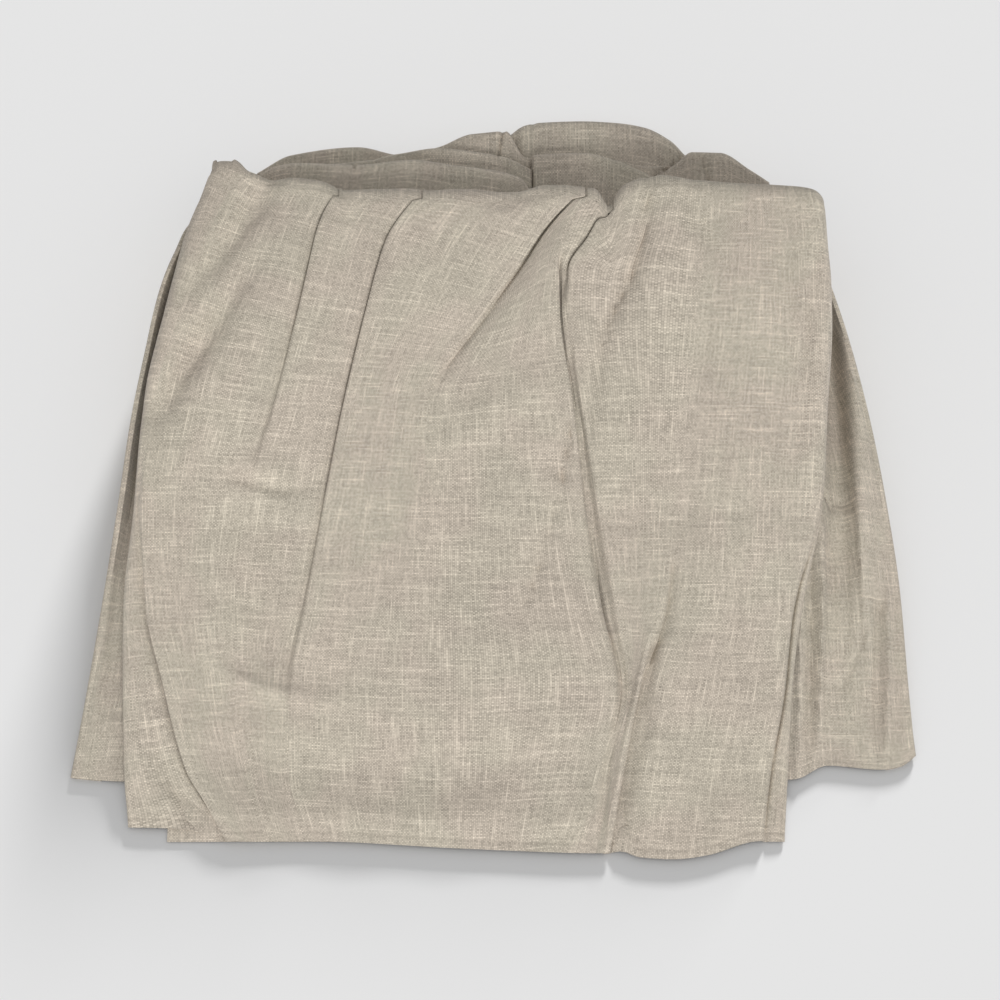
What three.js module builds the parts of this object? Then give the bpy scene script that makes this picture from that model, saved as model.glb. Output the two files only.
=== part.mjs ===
import * as THREE from 'three';

/*
 * A linen bed skirt, folded up and laid on a table.
 *
 * Millimetres, +Z up. The hems lie at the near end (-Y) and the folds of the
 * gathered headings are piled at the far end (+Y), so the bundle is a wedge,
 * thin at the hems. From the top down it is
 *   near_drop   the side drop that lies on top, rounded over at its heading
 *   foot_drop   the end drop, folded over once under it
 *   far_drop    the other side drop, fanned out under both as two wings
 *   platform    the plain sheet that goes under a mattress, folded back and forth
 * Each is one sheet of cloth: a grid of points on its middle surface, given
 * the cloth's thickness along the surface's own normals.
 */

// ---- the cloth and the bundle ----------------------------------------------

const THICK = 1.0;     // a layer of the cloth with its hem evened out
const STEP = 1.5;      // between the middles of two layers that lie on each other

const linen = new THREE.MeshStandardMaterial({ color: 0xbcb3a2, roughness: 0.92, metalness: 0 });

// ---- small tools ------------------------------------------------------------

const clamp = (t, low = 0, high = 1) => Math.min(high, Math.max(low, t));
const mix = (a, b, t) => a + (b - a) * t;
const ease = t => { const s = clamp(t); return s * s * (3 - 2 * s); };
const hump = (d, width) => Math.exp(-((d / width) ** 2));

/* A smooth curve through a table's rows: column `to` over column `from`. It
 * doesn't swing past its rows, and stays level outside them. */
function curve(rows, from, to) {
  const x = rows.map(row => row[from]);
  const y = rows.map(row => row[to]);
  const slope = i => (y[i + 1] - y[i]) / (x[i + 1] - x[i]);
  const tangent = x.map((_, i) => {
    if (i === 0 || i === x.length - 1) return i ? slope(i - 1) : slope(0);
    const [before, after] = [slope(i - 1), slope(i)];
    return before * after <= 0 ? 0 : 2 * before * after / (before + after);
  });
  return at => {
    if (at <= x[0]) return y[0];
    if (at >= x[x.length - 1]) return y[y.length - 1];
    let i = 0;
    while (at > x[i + 1]) i++;
    const w = x[i + 1] - x[i];
    const t = (at - x[i]) / w;
    return (2 * t ** 3 - 3 * t ** 2 + 1) * y[i] + (t ** 3 - 2 * t ** 2 + t) * w * tangent[i]
         + (3 * t ** 2 - 2 * t ** 3) * y[i + 1] + (t ** 3 - t ** 2) * w * tangent[i + 1];
  };
}

/* Numbers from the first to the last, in equal steps. */
const steps = (first, last, count) =>
  Array.from({ length: count }, (_, i) => mix(first, last, i / (count - 1)));

/* A closed solid of one sheet, from rows of points on its middle surface. */
function sheet(name, grid) {
  const rows = grid.length, columns = grid[0].length;
  const normal = (j, i) => {
    const along = grid[Math.min(j + 1, rows - 1)][i].clone().sub(grid[Math.max(j - 1, 0)][i]);
    const across = grid[j][Math.min(i + 1, columns - 1)].clone().sub(grid[j][Math.max(i - 1, 0)]);
    return across.cross(along).normalize().multiplyScalar(THICK / 2);
  };
  const points = [];
  for (const side of [1, -1]) {
    grid.forEach((row, j) => row.forEach((point, i) =>
      points.push(point.clone().addScaledVector(normal(j, i), side))));
  }
  const index = [];
  const quad = (a, b, c, d) => index.push(a, b, c, a, c, d);
  const top = (j, i) => j * columns + i;
  const under = (j, i) => rows * columns + top(j, i);
  for (let j = 0; j < rows - 1; j++) {
    for (let i = 0; i < columns - 1; i++) {
      quad(top(j, i), top(j, i + 1), top(j + 1, i + 1), top(j + 1, i));
      quad(under(j, i), under(j + 1, i), under(j + 1, i + 1), under(j, i + 1));
    }
    quad(top(j, 0), top(j + 1, 0), under(j + 1, 0), under(j, 0));
    quad(top(j, columns - 1), under(j, columns - 1), under(j + 1, columns - 1), top(j + 1, columns - 1));
  }
  for (let i = 0; i < columns - 1; i++) {
    quad(top(0, i), under(0, i), under(0, i + 1), top(0, i + 1));
    quad(top(rows - 1, i), top(rows - 1, i + 1), under(rows - 1, i + 1), under(rows - 1, i));
  }
  const geometry = new THREE.BufferGeometry().setFromPoints(points);
  geometry.setIndex(index);
  geometry.computeVertexNormals();
  const mesh = new THREE.Mesh(geometry, linen);
  mesh.name = name;
  return mesh;
}

// ---- heights down the middle of the bundle ---------------------------------

const LAYERS = [
  // y from the near end; the top drop, the folded end drop, the drop with the wings
  { y: -172, near: 2.4, foot: 0.9, far: 2.1 },
  { y: -155, near: 5, foot: 3.5, far: 2.1 },
  { y: -130, near: 9, foot: 7.5, far: 2.1 },
  { y: -100, near: 14, foot: 12.5, far: 5.6 },
  { y: -40, near: 26, foot: 24.5, far: 17.2 },
  { y: 0, near: 36, foot: 34.5, far: 28 },
  { y: 40, near: 44.8, foot: 42.8, far: 32.5 },
  { y: 70, near: 51.4, foot: 43.5, far: 33.5 },
  { y: 110, near: 60, foot: 40.5, far: 32.5 },
  { y: 150, near: 66, foot: 39.2, far: 28 },
];
const nearTop = curve(LAYERS, 'y', 'near');
const footTop = curve(LAYERS, 'y', 'foot');
const farTop = curve(LAYERS, 'y', 'far');

// ---- far_drop: the two wings ------------------------------------------------

const WINGS = [
  // the fold at each outer edge, and how far it stands up
  { y: -134, left: -209, right: 209, leftRim: 2.1, rightRim: 2.1 },
  { y: -88, left: -203, right: 207, leftRim: 7, rightRim: 7 },
  { y: -40, left: -197, right: 205, leftRim: 13, rightRim: 13 },
  { y: 8, left: -191.5, right: 200, leftRim: 20, rightRim: 19 },
  { y: 50, left: -187, right: 194, leftRim: 26, rightRim: 23 },
  { y: 87, left: -180.5, right: 187, leftRim: 31, rightRim: 25 },
  { y: 112, left: -175.5, right: 181, leftRim: 35, rightRim: 26 },
  { y: 130, left: -170, right: 176, leftRim: 37, rightRim: 26 },
  { y: 141, left: -166, right: 172, leftRim: 38, rightRim: 26 },
  { y: 151, left: -163, right: 169, leftRim: 37, rightRim: 26 },
  { y: 170, left: -154, right: 164, leftRim: 27, rightRim: 25 },
];
const wingLeft = curve(WINGS, 'y', 'left');
const wingRight = curve(WINGS, 'y', 'right');
const leftRim = curve(WINGS, 'y', 'leftRim');
const rightRim = curve(WINGS, 'y', 'rightRim');
const GAPS = [
  // the deep fold between each wing's rim and the panel: how far inwards of the
  // rim its middle lies, how wide it is and how deep
  { y: -100, left: 16, leftWidth: 8, leftDepth: 1, right: 36, rightWidth: 7, rightDepth: 0.5 },
  { y: -50, left: 11, leftWidth: 7, leftDepth: 3, right: 33, rightWidth: 7, rightDepth: 2.5 },
  { y: -10, left: 10.5, leftWidth: 7, leftDepth: 6, right: 29, rightWidth: 8, rightDepth: 7 },
  { y: 30, left: 9, leftWidth: 7.5, leftDepth: 11, right: 21, rightWidth: 7.5, rightDepth: 11 },
  { y: 70, left: 9.5, leftWidth: 7.5, leftDepth: 15, right: 14, rightWidth: 6.5, rightDepth: 14 },
  { y: 98, left: 10.5, leftWidth: 6, leftDepth: 17, right: 9, rightWidth: 5, rightDepth: 14 },
  { y: 122, left: 9.2, leftWidth: 4.5, leftDepth: 17, right: 5, rightWidth: 4, rightDepth: 12 },
  { y: 144, left: 6, leftWidth: 2.5, leftDepth: 16, right: 4, rightWidth: 3, rightDepth: 6 },
  { y: 152, left: 6, leftWidth: 2.5, leftDepth: 0, right: 4, rightWidth: 3, rightDepth: 0 },
];
const gap = Object.fromEntries(Object.keys(GAPS[0]).slice(1).map(column => [column, curve(GAPS, 'y', column)]));
const WING_HEM = [
  // how far the wings' hem lies from the near end, from side to side
  { x: -209, y: -133 }, { x: -183, y: -135 }, { x: 148, y: -134 }, { x: 165, y: -127 },
  { x: 191, y: -129 }, { x: 202, y: -127 }, { x: 210, y: -121 },
];
const WING_PLEATS = [
  // soft pleats down the right wing: inwards of its outer edge, and their height
  { inward: 17, width: 5, height: 2.2 },
  { inward: 31, width: 4, height: -1.6 },
  { inward: 45, width: 4, height: 2.4 },
  { inward: 55, width: 4, height: -1.4 },
];
const FLAP = 12;       // the wings' hidden flaps, flat on the table
const WALL_INSET = 3;  // the wall's foot, inwards of the rim
const INWARDS = {      // the columns of cloth inwards of each rim
  left: [2, 4.2, 6.8, 9.6, 12.6, 16, 21, 28, 40],
  right: [2, 5, 9, 13, 18, 24, 30, 36, 42, 48, 56, 66],
};
const FAR_END = 166;

const wingHem = curve(WING_HEM, 'x', 'y');

/* The far drop's height over the table between its rims, smooth and then folded. */
function farCrown(x, y) {
  const inner = Math.min(x - wingLeft(y), wingRight(y) - x);
  return mix((x < 0 ? leftRim : rightRim)(y), farTop(y), ease(inner / 34));
}

function farHeight(x, y) {
  const pleats = WING_PLEATS.reduce((sum, pleat) =>
    sum + pleat.height * hump(wingRight(y) - x - pleat.inward, pleat.width), 0);
  const trough = (off, width, depth) => depth * Math.exp(-(Math.abs(off / width) ** 3));
  return farCrown(x, y) + pleats * clamp((rightRim(y) - 2) / 5) * ease((x - 100) / 30)
    - trough(x - wingLeft(y) - gap.left(y), gap.leftWidth(y), gap.leftDepth(y))
    - trough(wingRight(y) - x - gap.right(y), gap.rightWidth(y), gap.rightDepth(y));
}

function farDrop() {
  const grid = steps(-134, FAR_END, 21).map(y0 => {
    const y = x => (y0 < -110 ? mix(wingHem(x), y0, (y0 + 134) / 24) : y0);
    const left = wingLeft(y0), right = wingRight(y0);
    const foot = THICK / 2;
    // a flap flat on the table, the wall up to the rim, and across to the other side
    const wall = (edge, inwards) => {
      const rim = Math.max((edge < 0 ? leftRim : rightRim)(y0), foot + STEP);
      return [
        [edge + inwards * (WALL_INSET + FLAP), foot],
        [edge + inwards * (WALL_INSET + FLAP / 2), foot],
        [edge + inwards * WALL_INSET, foot],
        [edge + inwards * WALL_INSET / 4, mix(foot, rim, 0.25)],
        [edge, mix(foot, rim, 0.62)],
      ];
    };
    const fromLeft = INWARDS.left.map(inward => left + inward);
    const fromRight = INWARDS.right.map(inward => right - inward).reverse();
    const across = [...fromLeft, ...steps(fromLeft.at(-1), fromRight[0], 9).slice(1, -1), ...fromRight]
      .map(x => [x, Math.max(farHeight(x, y0), foot + STEP)]);
    return [...wall(left, 1), ...across, ...wall(right, -1).reverse()]
      .map(([x, z]) => new THREE.Vector3(x, y(x), z));
  });
  return sheet('far_drop', grid);
}

// ---- near_drop: the panel on top --------------------------------------------

const STATIONS = {     // where the tables below give places, from the hem to the brow
  hem: -169, shin: -130, low: -90, waist: -50, middle: 0, upper: 50, high: 100, brow: 130, crest: 156,
};
const LINES = [
  // lines that run up the panel, each at its place across at every station
  { line: 'left_edge', hem: -179, shin: -182, low: -184, waist: -185, middle: -181, upper: -178, high: -169, brow: -160.5, crest: -146 },
  { line: 'left_pleat', hem: -130, shin: -151, low: -163, waist: -174, middle: -176, upper: -168, high: -155, brow: -146, crest: -130 },
  { line: 'first_gather', hem: -110, shin: -120, low: -127, waist: -129, middle: -124, upper: -110, high: -98, brow: -90, crest: -79 },
  { line: 'second_gather', hem: -88, shin: -96, low: -101, waist: -94, middle: -85, upper: -75, high: -63, brow: -54, crest: -36 },
  { line: 'third_gather', hem: -34, shin: -36, low: -38, waist: -38, middle: -36, upper: -31, high: 5, brow: 23, crest: 47 },
  { line: 'tongue', hem: 36, shin: 46, low: 59, waist: 53, middle: 45, upper: 39, high: 32, brow: 36, crest: 49 },
  { line: 'centre_pleat', hem: 46, shin: 55, low: 67, waist: 61, middle: 54, upper: 48, high: 40, brow: 46, crest: 59 },
  { line: 'pinch', hem: 57, shin: 64, low: 75, waist: 88, middle: 92, upper: 98, high: 104, brow: 108, crest: 110 },
  { line: 'right_ridge', hem: 130, shin: 135, low: 143, waist: 148, middle: 150, upper: 153, high: 157, brow: 158, crest: 155 },
  { line: 'right_edge', hem: 142, shin: 145, low: 148, waist: 154, middle: 165, upper: 170, high: 175, brow: 174, crest: 170 },
];
const PLEATS = [
  // pleats on those lines. over +1: the right side lies over the left. The side
  // on top stands `lift` over the other and laps it by `lap`; the other sinks by
  // `dip` beside it. The lap closes between `from` and `shut`, lift and dip are
  // gone at `gone`, and a pleat with a `top` starts there.
  { line: 'left_pleat', over: 1, lap: 7, lift: 3, dip: 0.8, dips: 6, from: -125, shut: -40, gone: 6, fade: 22 },
  { line: 'first_gather', over: 1, lap: 4, lift: 2.8, dip: 0.8, dips: 6, from: 150, shut: 50, gone: 4, fade: 14 },
  { line: 'second_gather', over: 1, lap: 6, lift: 2.9, dip: 0.8, dips: 6, from: 120, shut: -45, gone: -104, fade: 18 },
  { line: 'third_gather', over: -1, lap: 3, lift: 2.6, dip: 2.6, dips: 9, from: 150, shut: 84, gone: 38, fade: 16 },
  { line: 'tongue', over: -1, lap: 4, lift: 2.8, dip: 2, dips: 6, from: 0, shut: -84, gone: -110, fade: 16, top: 116 },
  { line: 'centre_pleat', over: 1, lap: 5, lift: 2.8, dip: 1.2, dips: 6, from: 140, shut: 70, gone: 0, fade: 14 },
  { line: 'pinch', over: -1, lap: 2, lift: 2.9, dip: 0.8, dips: 6, from: -130, shut: -80, gone: -44, fade: 5 },
];
const CREASES = [
  // soft troughs (-) and ridges (+) in the cloth between the pleats
  { x1: -118, y1: 116, x2: -160, y2: 52, width: 11, height: -4.5 },
  { x1: -128, y1: 148, x2: -152, y2: 114, width: 7, height: -3 },
  { x1: -148, y1: 50, x2: -142, y2: -60, width: 15, height: 2 },
  { x1: -122, y1: -14, x2: -114, y2: -73, width: 10, height: -2.2 },
  { x1: -130, y1: -130, x2: 37, y2: -129, width: 13, height: -2.6 },
  { x1: -20, y1: 14, x2: -14, y2: -87, width: 16, height: -2.2 },
  { x1: -22, y1: 26, x2: 20, y2: 58, width: 11, height: 2.2 },
  { x1: -30, y1: 148, x2: 24, y2: 144, width: 6, height: -2 },
  { x1: 76, y1: 146, x2: 48, y2: 44, width: 4.5, height: -2.6 },
  { x1: 90, y1: 138, x2: 70, y2: 50, width: 9, height: 1.6 },
  { x1: 122, y1: 60, x2: 104, y2: -90, width: 17, height: 1.7 },
];
const EDGES = [
  // how far down the panel's two sides roll over
  { y: -172, leftDrop: 0.6, rightDrop: 0.6 },
  { y: -130, leftDrop: 3, rightDrop: 4 },
  { y: -60, leftDrop: 5, rightDrop: 5 },
  { y: 0, leftDrop: 10, rightDrop: 8 },
  { y: 50, leftDrop: 15, rightDrop: 14 },
  { y: 100, leftDrop: 23, rightDrop: 22 },
  { y: 130, leftDrop: 24, rightDrop: 24 },
  { y: 145, leftDrop: 18, rightDrop: 17 },
  { y: 160, leftDrop: 12, rightDrop: 12 },
];
const HEM = [
  { x: -184, y: -158 }, { x: -150, y: -159 }, { x: -134, y: -165 }, { x: -95, y: -165 }, { x: -10, y: -169 },
  { x: 52, y: -171 }, { x: 62, y: -170 }, { x: 71, y: -173 }, { x: 88, y: -174 }, { x: 104, y: -172 },
  { x: 130, y: -165 }, { x: 146, y: -165 },
];
const NOSE = [
  // where the rounded heading ends at the far side, from side to side
  { x: -153, y: 174 }, { x: -147, y: 179.5 }, { x: -134, y: 178.5 }, { x: -127, y: 174.5 }, { x: -116, y: 173 },
  { x: -90, y: 169.5 }, { x: -81, y: 166.5 }, { x: -77, y: 163.5 }, { x: -60, y: 164 }, { x: -39, y: 163.5 },
  { x: -34, y: 161.5 }, { x: -20, y: 163 }, { x: 12, y: 164 }, { x: 26, y: 167 }, { x: 40, y: 165.5 },
  { x: 52, y: 164 }, { x: 59, y: 154 }, { x: 67, y: 165 }, { x: 84, y: 172 }, { x: 106, y: 169 },
  { x: 150, y: 166 }, { x: 170, y: 160 },
];
const SQUARE = 2.6;    // how squarely the panel turns down at its sides
const RETURN = 34;     // the heading's hidden return under the panel
const NOSE_RADIUS = 10.5;
const SECTION = [
  // a pleat's section in its own columns: where lying flat, where lapped, how high
  { flat: -3.6, lapped: -3.2, laps: 0, high: 0 },
  { flat: -2.0, lapped: 0.4, laps: 0.5, high: 0 },
  { flat: -0.7, lapped: 0, laps: 1, high: 0.26 },
  { flat: 0.5, lapped: 0.2, laps: 0.5, high: 0.52 },
  { flat: 1.6, lapped: -0.5, laps: 0, high: 0.78 },
  { flat: 3.2, lapped: 2.4, laps: 0, high: 1 },
];

const stationRows = row => Object.entries(STATIONS).map(([station, y]) => ({ y, x: row[station] }));
const lineAt = Object.fromEntries(LINES.map(row => [row.line, curve(stationRows(row), 'y', 'x')]));
const dropLeft = curve(EDGES, 'y', 'leftDrop');
const dropRight = curve(EDGES, 'y', 'rightDrop');
const hemAt = curve(HEM, 'x', 'y');
const noseAt = curve(NOSE, 'x', 'y');

/* 1 where a pleat is whole, falling to 0 where it has run out. */
const fades = (y, whole, gone) => ease((y - gone) / (whole - gone));

/* How far a pleat is lapped at y, how high its upper side stands there and how
 * far the other sinks. */
function pleatAt(pleat, y) {
  const begun = pleat.top ? ease((pleat.top + 12 - y) / 16) : 1;
  const here = fades(y, pleat.shut, pleat.gone) * begun;
  const crest = ease((y - 124) / 26);
  return {
    x: lineAt[pleat.line](y),
    lap: fades(y, pleat.from, pleat.shut) * begun,
    lift: pleat.lift * here * mix(1, 0.6, crest),
    dip: pleat.dip * here * mix(1, 0.3, crest),
  };
}

/* What a pleat adds to the cloth beside its line: a rise on its upper side, a
 * dip on the other. */
function liftBeside(pleat, x, y) {
  const { x: line, lift, dip } = pleatAt(pleat, y);
  const beside = pleat.over * (x - line);
  return beside < 0 ? -dip * hump(beside, pleat.dips) : (lift - dip) * hump(beside, pleat.fade);
}

/* A soft crease, from its first point to its second and fading out at both. */
function creaseAt(crease, x, y) {
  const along = new THREE.Vector2(crease.x2 - crease.x1, crease.y2 - crease.y1);
  const length = along.length();
  along.normalize();
  const [dx, dy] = [x - crease.x1, y - crease.y1];
  const t = (dx * along.x + dy * along.y) / length;
  const off = dx * along.y - dy * along.x;
  return crease.height * hump(off, crease.width) * ease((t + 0.15) / 0.3) * ease((1.15 - t) / 0.3);
}

/* Height of the panel's underlying surface, without its pleats. */
function panelHeight(x, y) {
  const middle = nearTop(y) - 2.5 * clamp(y / 150) * ((x - 5) / 165) ** 4;
  const left = lineAt.left_pleat(y), right = lineAt.right_ridge(y);
  const rollLeft = clamp((left - x) / (left - lineAt.left_edge(y)));
  const rollRight = clamp((x - right) / (lineAt.right_edge(y) - right));
  const roll = t => 1 - (1 - t ** SQUARE) ** (1 / SQUARE);
  const rolled = middle - dropLeft(y) * roll(rollLeft) - dropRight(y) * roll(rollRight);
  const soft = CREASES.reduce((sum, crease) => sum + creaseAt(crease, x, y), 0);
  return rolled + soft * clamp((y + 172) / 25);
}

/* The panel's columns at y: place across, height over the surface below. */
function panelColumns(y) {
  const between = { left_edge: 5, left_pleat: 3, first_gather: 3, second_gather: 5, third_gather: 4,
                    tongue: 1, centre_pleat: 3, pinch: 5, right_ridge: 4 };
  const columns = [];
  LINES.forEach(({ line }, k) => {
    const pleat = PLEATS.find(row => row.line === line);
    const x = lineAt[line](y);
    if (pleat) {
      const { lap, lift, dip } = pleatAt(pleat, y);
      const section = pleat.over > 0 ? SECTION : [...SECTION].reverse();
      section.forEach(row => columns.push({
        x: x + pleat.over * mix(row.flat, row.lapped + row.laps * pleat.lap, lap),
        own: row.high * lift - dip, pleat,
      }));
    } else {
      columns.push({ x, own: 0 });
    }
    if (k === LINES.length - 1) return;
    const fill = between[line];
    for (let n = 1; n <= fill; n++) columns.push({ next: k + 1, share: n / (fill + 1) });
  });
  // the columns between two lines share out the cloth between their pleats
  columns.forEach((column, i) => {
    if (column.next === undefined) return;
    const from = columns[i - Math.round(column.share * (between[LINES[column.next - 1].line] + 1))];
    let to = i;
    while (columns[to].next !== undefined) to++;
    let share = column.share;
    if (LINES[column.next - 1].line === 'left_edge') share = 1 - Math.cos(share * Math.PI / 2);
    if (LINES[column.next].line === 'right_edge') share = Math.sin(share * Math.PI / 2);
    column.x = mix(from.x, columns[to].x, share);
    column.own = 0;
  });
  return columns.map(({ x, own, pleat }) => ({
    x,
    lift: own + PLEATS.reduce((sum, other) => other === pleat ? sum : sum + liftBeside(other, x, y), 0),
  }));
}

/* How far the hem's and the heading's own outlines move a place along. */
const shiftAt = (x, y) => (hemAt(x) + 169) * (1 - ease((y + 169) / 40))
                        + (noseAt(x) - NOSE_RADIUS - 149) * ease((y - 95) / 54);

/* Height of the panel's underlying surface at its real place along. */
function panelOver(x, y) {
  let nominal = y;
  for (let n = 0; n < 4; n++) nominal = y - shiftAt(x, nominal);
  return panelHeight(x, nominal);
}

function nearDrop() {
  const grid = [];
  // up the panel, from the hem to the crest
  for (const nominal of [-169, -160, ...steps(-146, 130, 15), 140, 149]) {
    grid.push(panelColumns(nominal).map(({ x, lift }) => {
      const y = nominal + shiftAt(x, nominal);
      const z = panelHeight(x, nominal) + lift;
      return new THREE.Vector3(x, y, y < -140 ? z : Math.max(z, farHeight(x, y) + STEP + 0.2));
    }));
  }
  // round the heading and a little way back under the panel
  const columns = panelColumns(156);
  const crest = columns.map(({ x, lift }) => {
    const top = panelHeight(x, 149);
    const below = mix(farTop(150), footTop(150), ease((x + 140) / 12)) + STEP;
    const radius = Math.min(NOSE_RADIUS, (top - below - 6) / 2);
    return { x, lift, radius, y: noseAt(x) - NOSE_RADIUS, centre: top - radius };
  });
  for (const turn of [30, 60, 90, 120, 150, 180]) {
    const angle = THREE.MathUtils.degToRad(turn);
    grid.push(crest.map(({ x, lift, radius, y, centre }) => new THREE.Vector3(
      x, y + (radius + lift) * Math.sin(angle) * (radius > 10 ? 1 : 1.2), centre + (radius + lift) * Math.cos(angle))));
  }
  for (const back of [0.5, 1]) {
    grid.push(crest.map(({ x, lift, radius, y, centre }) => new THREE.Vector3(
      x, y - back * RETURN, centre - (radius + lift) + back * RETURN * 0.14)));
  }
  return sheet('near_drop', grid);
}

// ---- foot_drop: the end drop, folded over once under the panel --------------

const FOOT_NOSE = [
  // where its fold shows past the panel's heading, from side to side
  { x: -126, y: 183 }, { x: -116, y: 190 }, { x: -104, y: 192 }, { x: -73, y: 191 }, { x: -43, y: 194 },
  { x: -23, y: 191 }, { x: -2, y: 188 }, { x: 14, y: 183 }, { x: 24, y: 166 }, { x: 60, y: 156 }, { x: 118, y: 152 },
];
const FOOT_SIDES = [
  { y: -166, left: -160, right: 118 }, { y: -60, left: -158, right: 130 },
  { y: 60, left: -146, right: 134 }, { y: 150, left: -128, right: 120 }, { y: 195, left: -124, right: 116 },
];
const FOOT_RADIUS = 4.3;
const footNose = curve(FOOT_NOSE, 'x', 'y');
const footLeft = curve(FOOT_SIDES, 'y', 'left');
const footRight = curve(FOOT_SIDES, 'y', 'right');

function footDrop() {
  const across = (y, share) => mix(footLeft(y), footRight(y), share);
  const shares = steps(0, 1, 22);
  const grid = [];
  const hem = -165, brow = 150;
  for (const nominal of [hem, -159, -152, -142, ...steps(-128, 60, 8), 80, 100, 120, brow]) {
    grid.push(shares.map(share => {
      const x = across(nominal, share);
      const y = nominal + (footNose(x) - FOOT_RADIUS - brow) * ease((nominal - 60) / (brow - 60));
      const under = y < 90 ? panelOver(x, y) - STEP - 1 - 1.7 * ease((y + 130) / 40) : Infinity;
      return new THREE.Vector3(x, y, Math.max(0.6, Math.min(footTop(nominal), under)));
    }));
  }
  for (const turn of [30, 60, 90, 120, 150, 180]) {
    const angle = THREE.MathUtils.degToRad(turn);
    grid.push(shares.map(share => {
      const x = across(150, share);
      return new THREE.Vector3(x, footNose(x) + FOOT_RADIUS * (Math.sin(angle) - 1),
        footTop(150) - FOOT_RADIUS * (1 - Math.cos(angle)));
    }));
  }
  for (const back of [0.5, 1]) {
    grid.push(shares.map(share => {
      const x = across(150, share);
      const y = mix(footNose(x) - FOOT_RADIUS, 112, back);
      return new THREE.Vector3(x, y, mix(footTop(150) - 2 * FOOT_RADIUS, farTop(112) + STEP + 0.3, back));
    }));
  }
  return sheet('foot_drop', grid);
}

// ---- platform: back and forth under everything ------------------------------

const PLATFORM_NOSES = [
  // where its three far folds end, from side to side, and each one's height
  { x: -128, top: 188, mid: 198, low: 193, topHigh: 7, midHigh: 7, lowHigh: 7 },
  { x: -110, top: 196, mid: 209, low: 200, topHigh: 7, midHigh: 7, lowHigh: 7 },
  { x: -74, top: 200, mid: 214, low: 204, topHigh: 7, midHigh: 7, lowHigh: 7 },
  { x: -50, top: 205, mid: 209, low: 205, topHigh: 7, midHigh: 7, lowHigh: 7 },
  { x: -30, top: 208, mid: 214, low: 208, topHigh: 6, midHigh: 9, lowHigh: 6 },
  { x: -12, top: 206, mid: 222, low: 212, topHigh: 6, midHigh: 9, lowHigh: 6 },
  { x: 6, top: 202, mid: 223, low: 224, topHigh: 5, midHigh: 8, lowHigh: 8 },
  { x: 16, top: 197, mid: 206, low: 230, topHigh: 5, midHigh: 3, lowHigh: 13 },
  { x: 24, top: 204, mid: 205, low: 232, topHigh: 6, midHigh: 2, lowHigh: 13 },
  { x: 48, top: 205, mid: 206, low: 233, topHigh: 6, midHigh: 2, lowHigh: 13 },
  { x: 66, top: 200, mid: 204, low: 232, topHigh: 6, midHigh: 2, lowHigh: 13 },
  { x: 82, top: 192, mid: 200, low: 229, topHigh: 5, midHigh: 3, lowHigh: 13 },
  { x: 96, top: 186, mid: 202, low: 222, topHigh: 5, midHigh: 6, lowHigh: 10 },
  { x: 106, top: 184, mid: 210, low: 212, topHigh: 5, midHigh: 8, lowHigh: 8 },
  { x: 122, top: 182, mid: 210, low: 206, topHigh: 5, midHigh: 9, lowHigh: 7 },
  { x: 138, top: 178, mid: 200, low: 198, topHigh: 5, midHigh: 9, lowHigh: 7 },
  { x: 152, top: 174, mid: 190, low: 190, topHigh: 5, midHigh: 9, lowHigh: 7 },
];
const nosePlace = name => curve(PLATFORM_NOSES, 'x', name);
const NEAR_TURNS = { start: -95, first: -82, second: -44, end: -18 };
const STATIONS_UNDER = [-82, -44, -18, 50, 150];   // where every layer has a row of points

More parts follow.
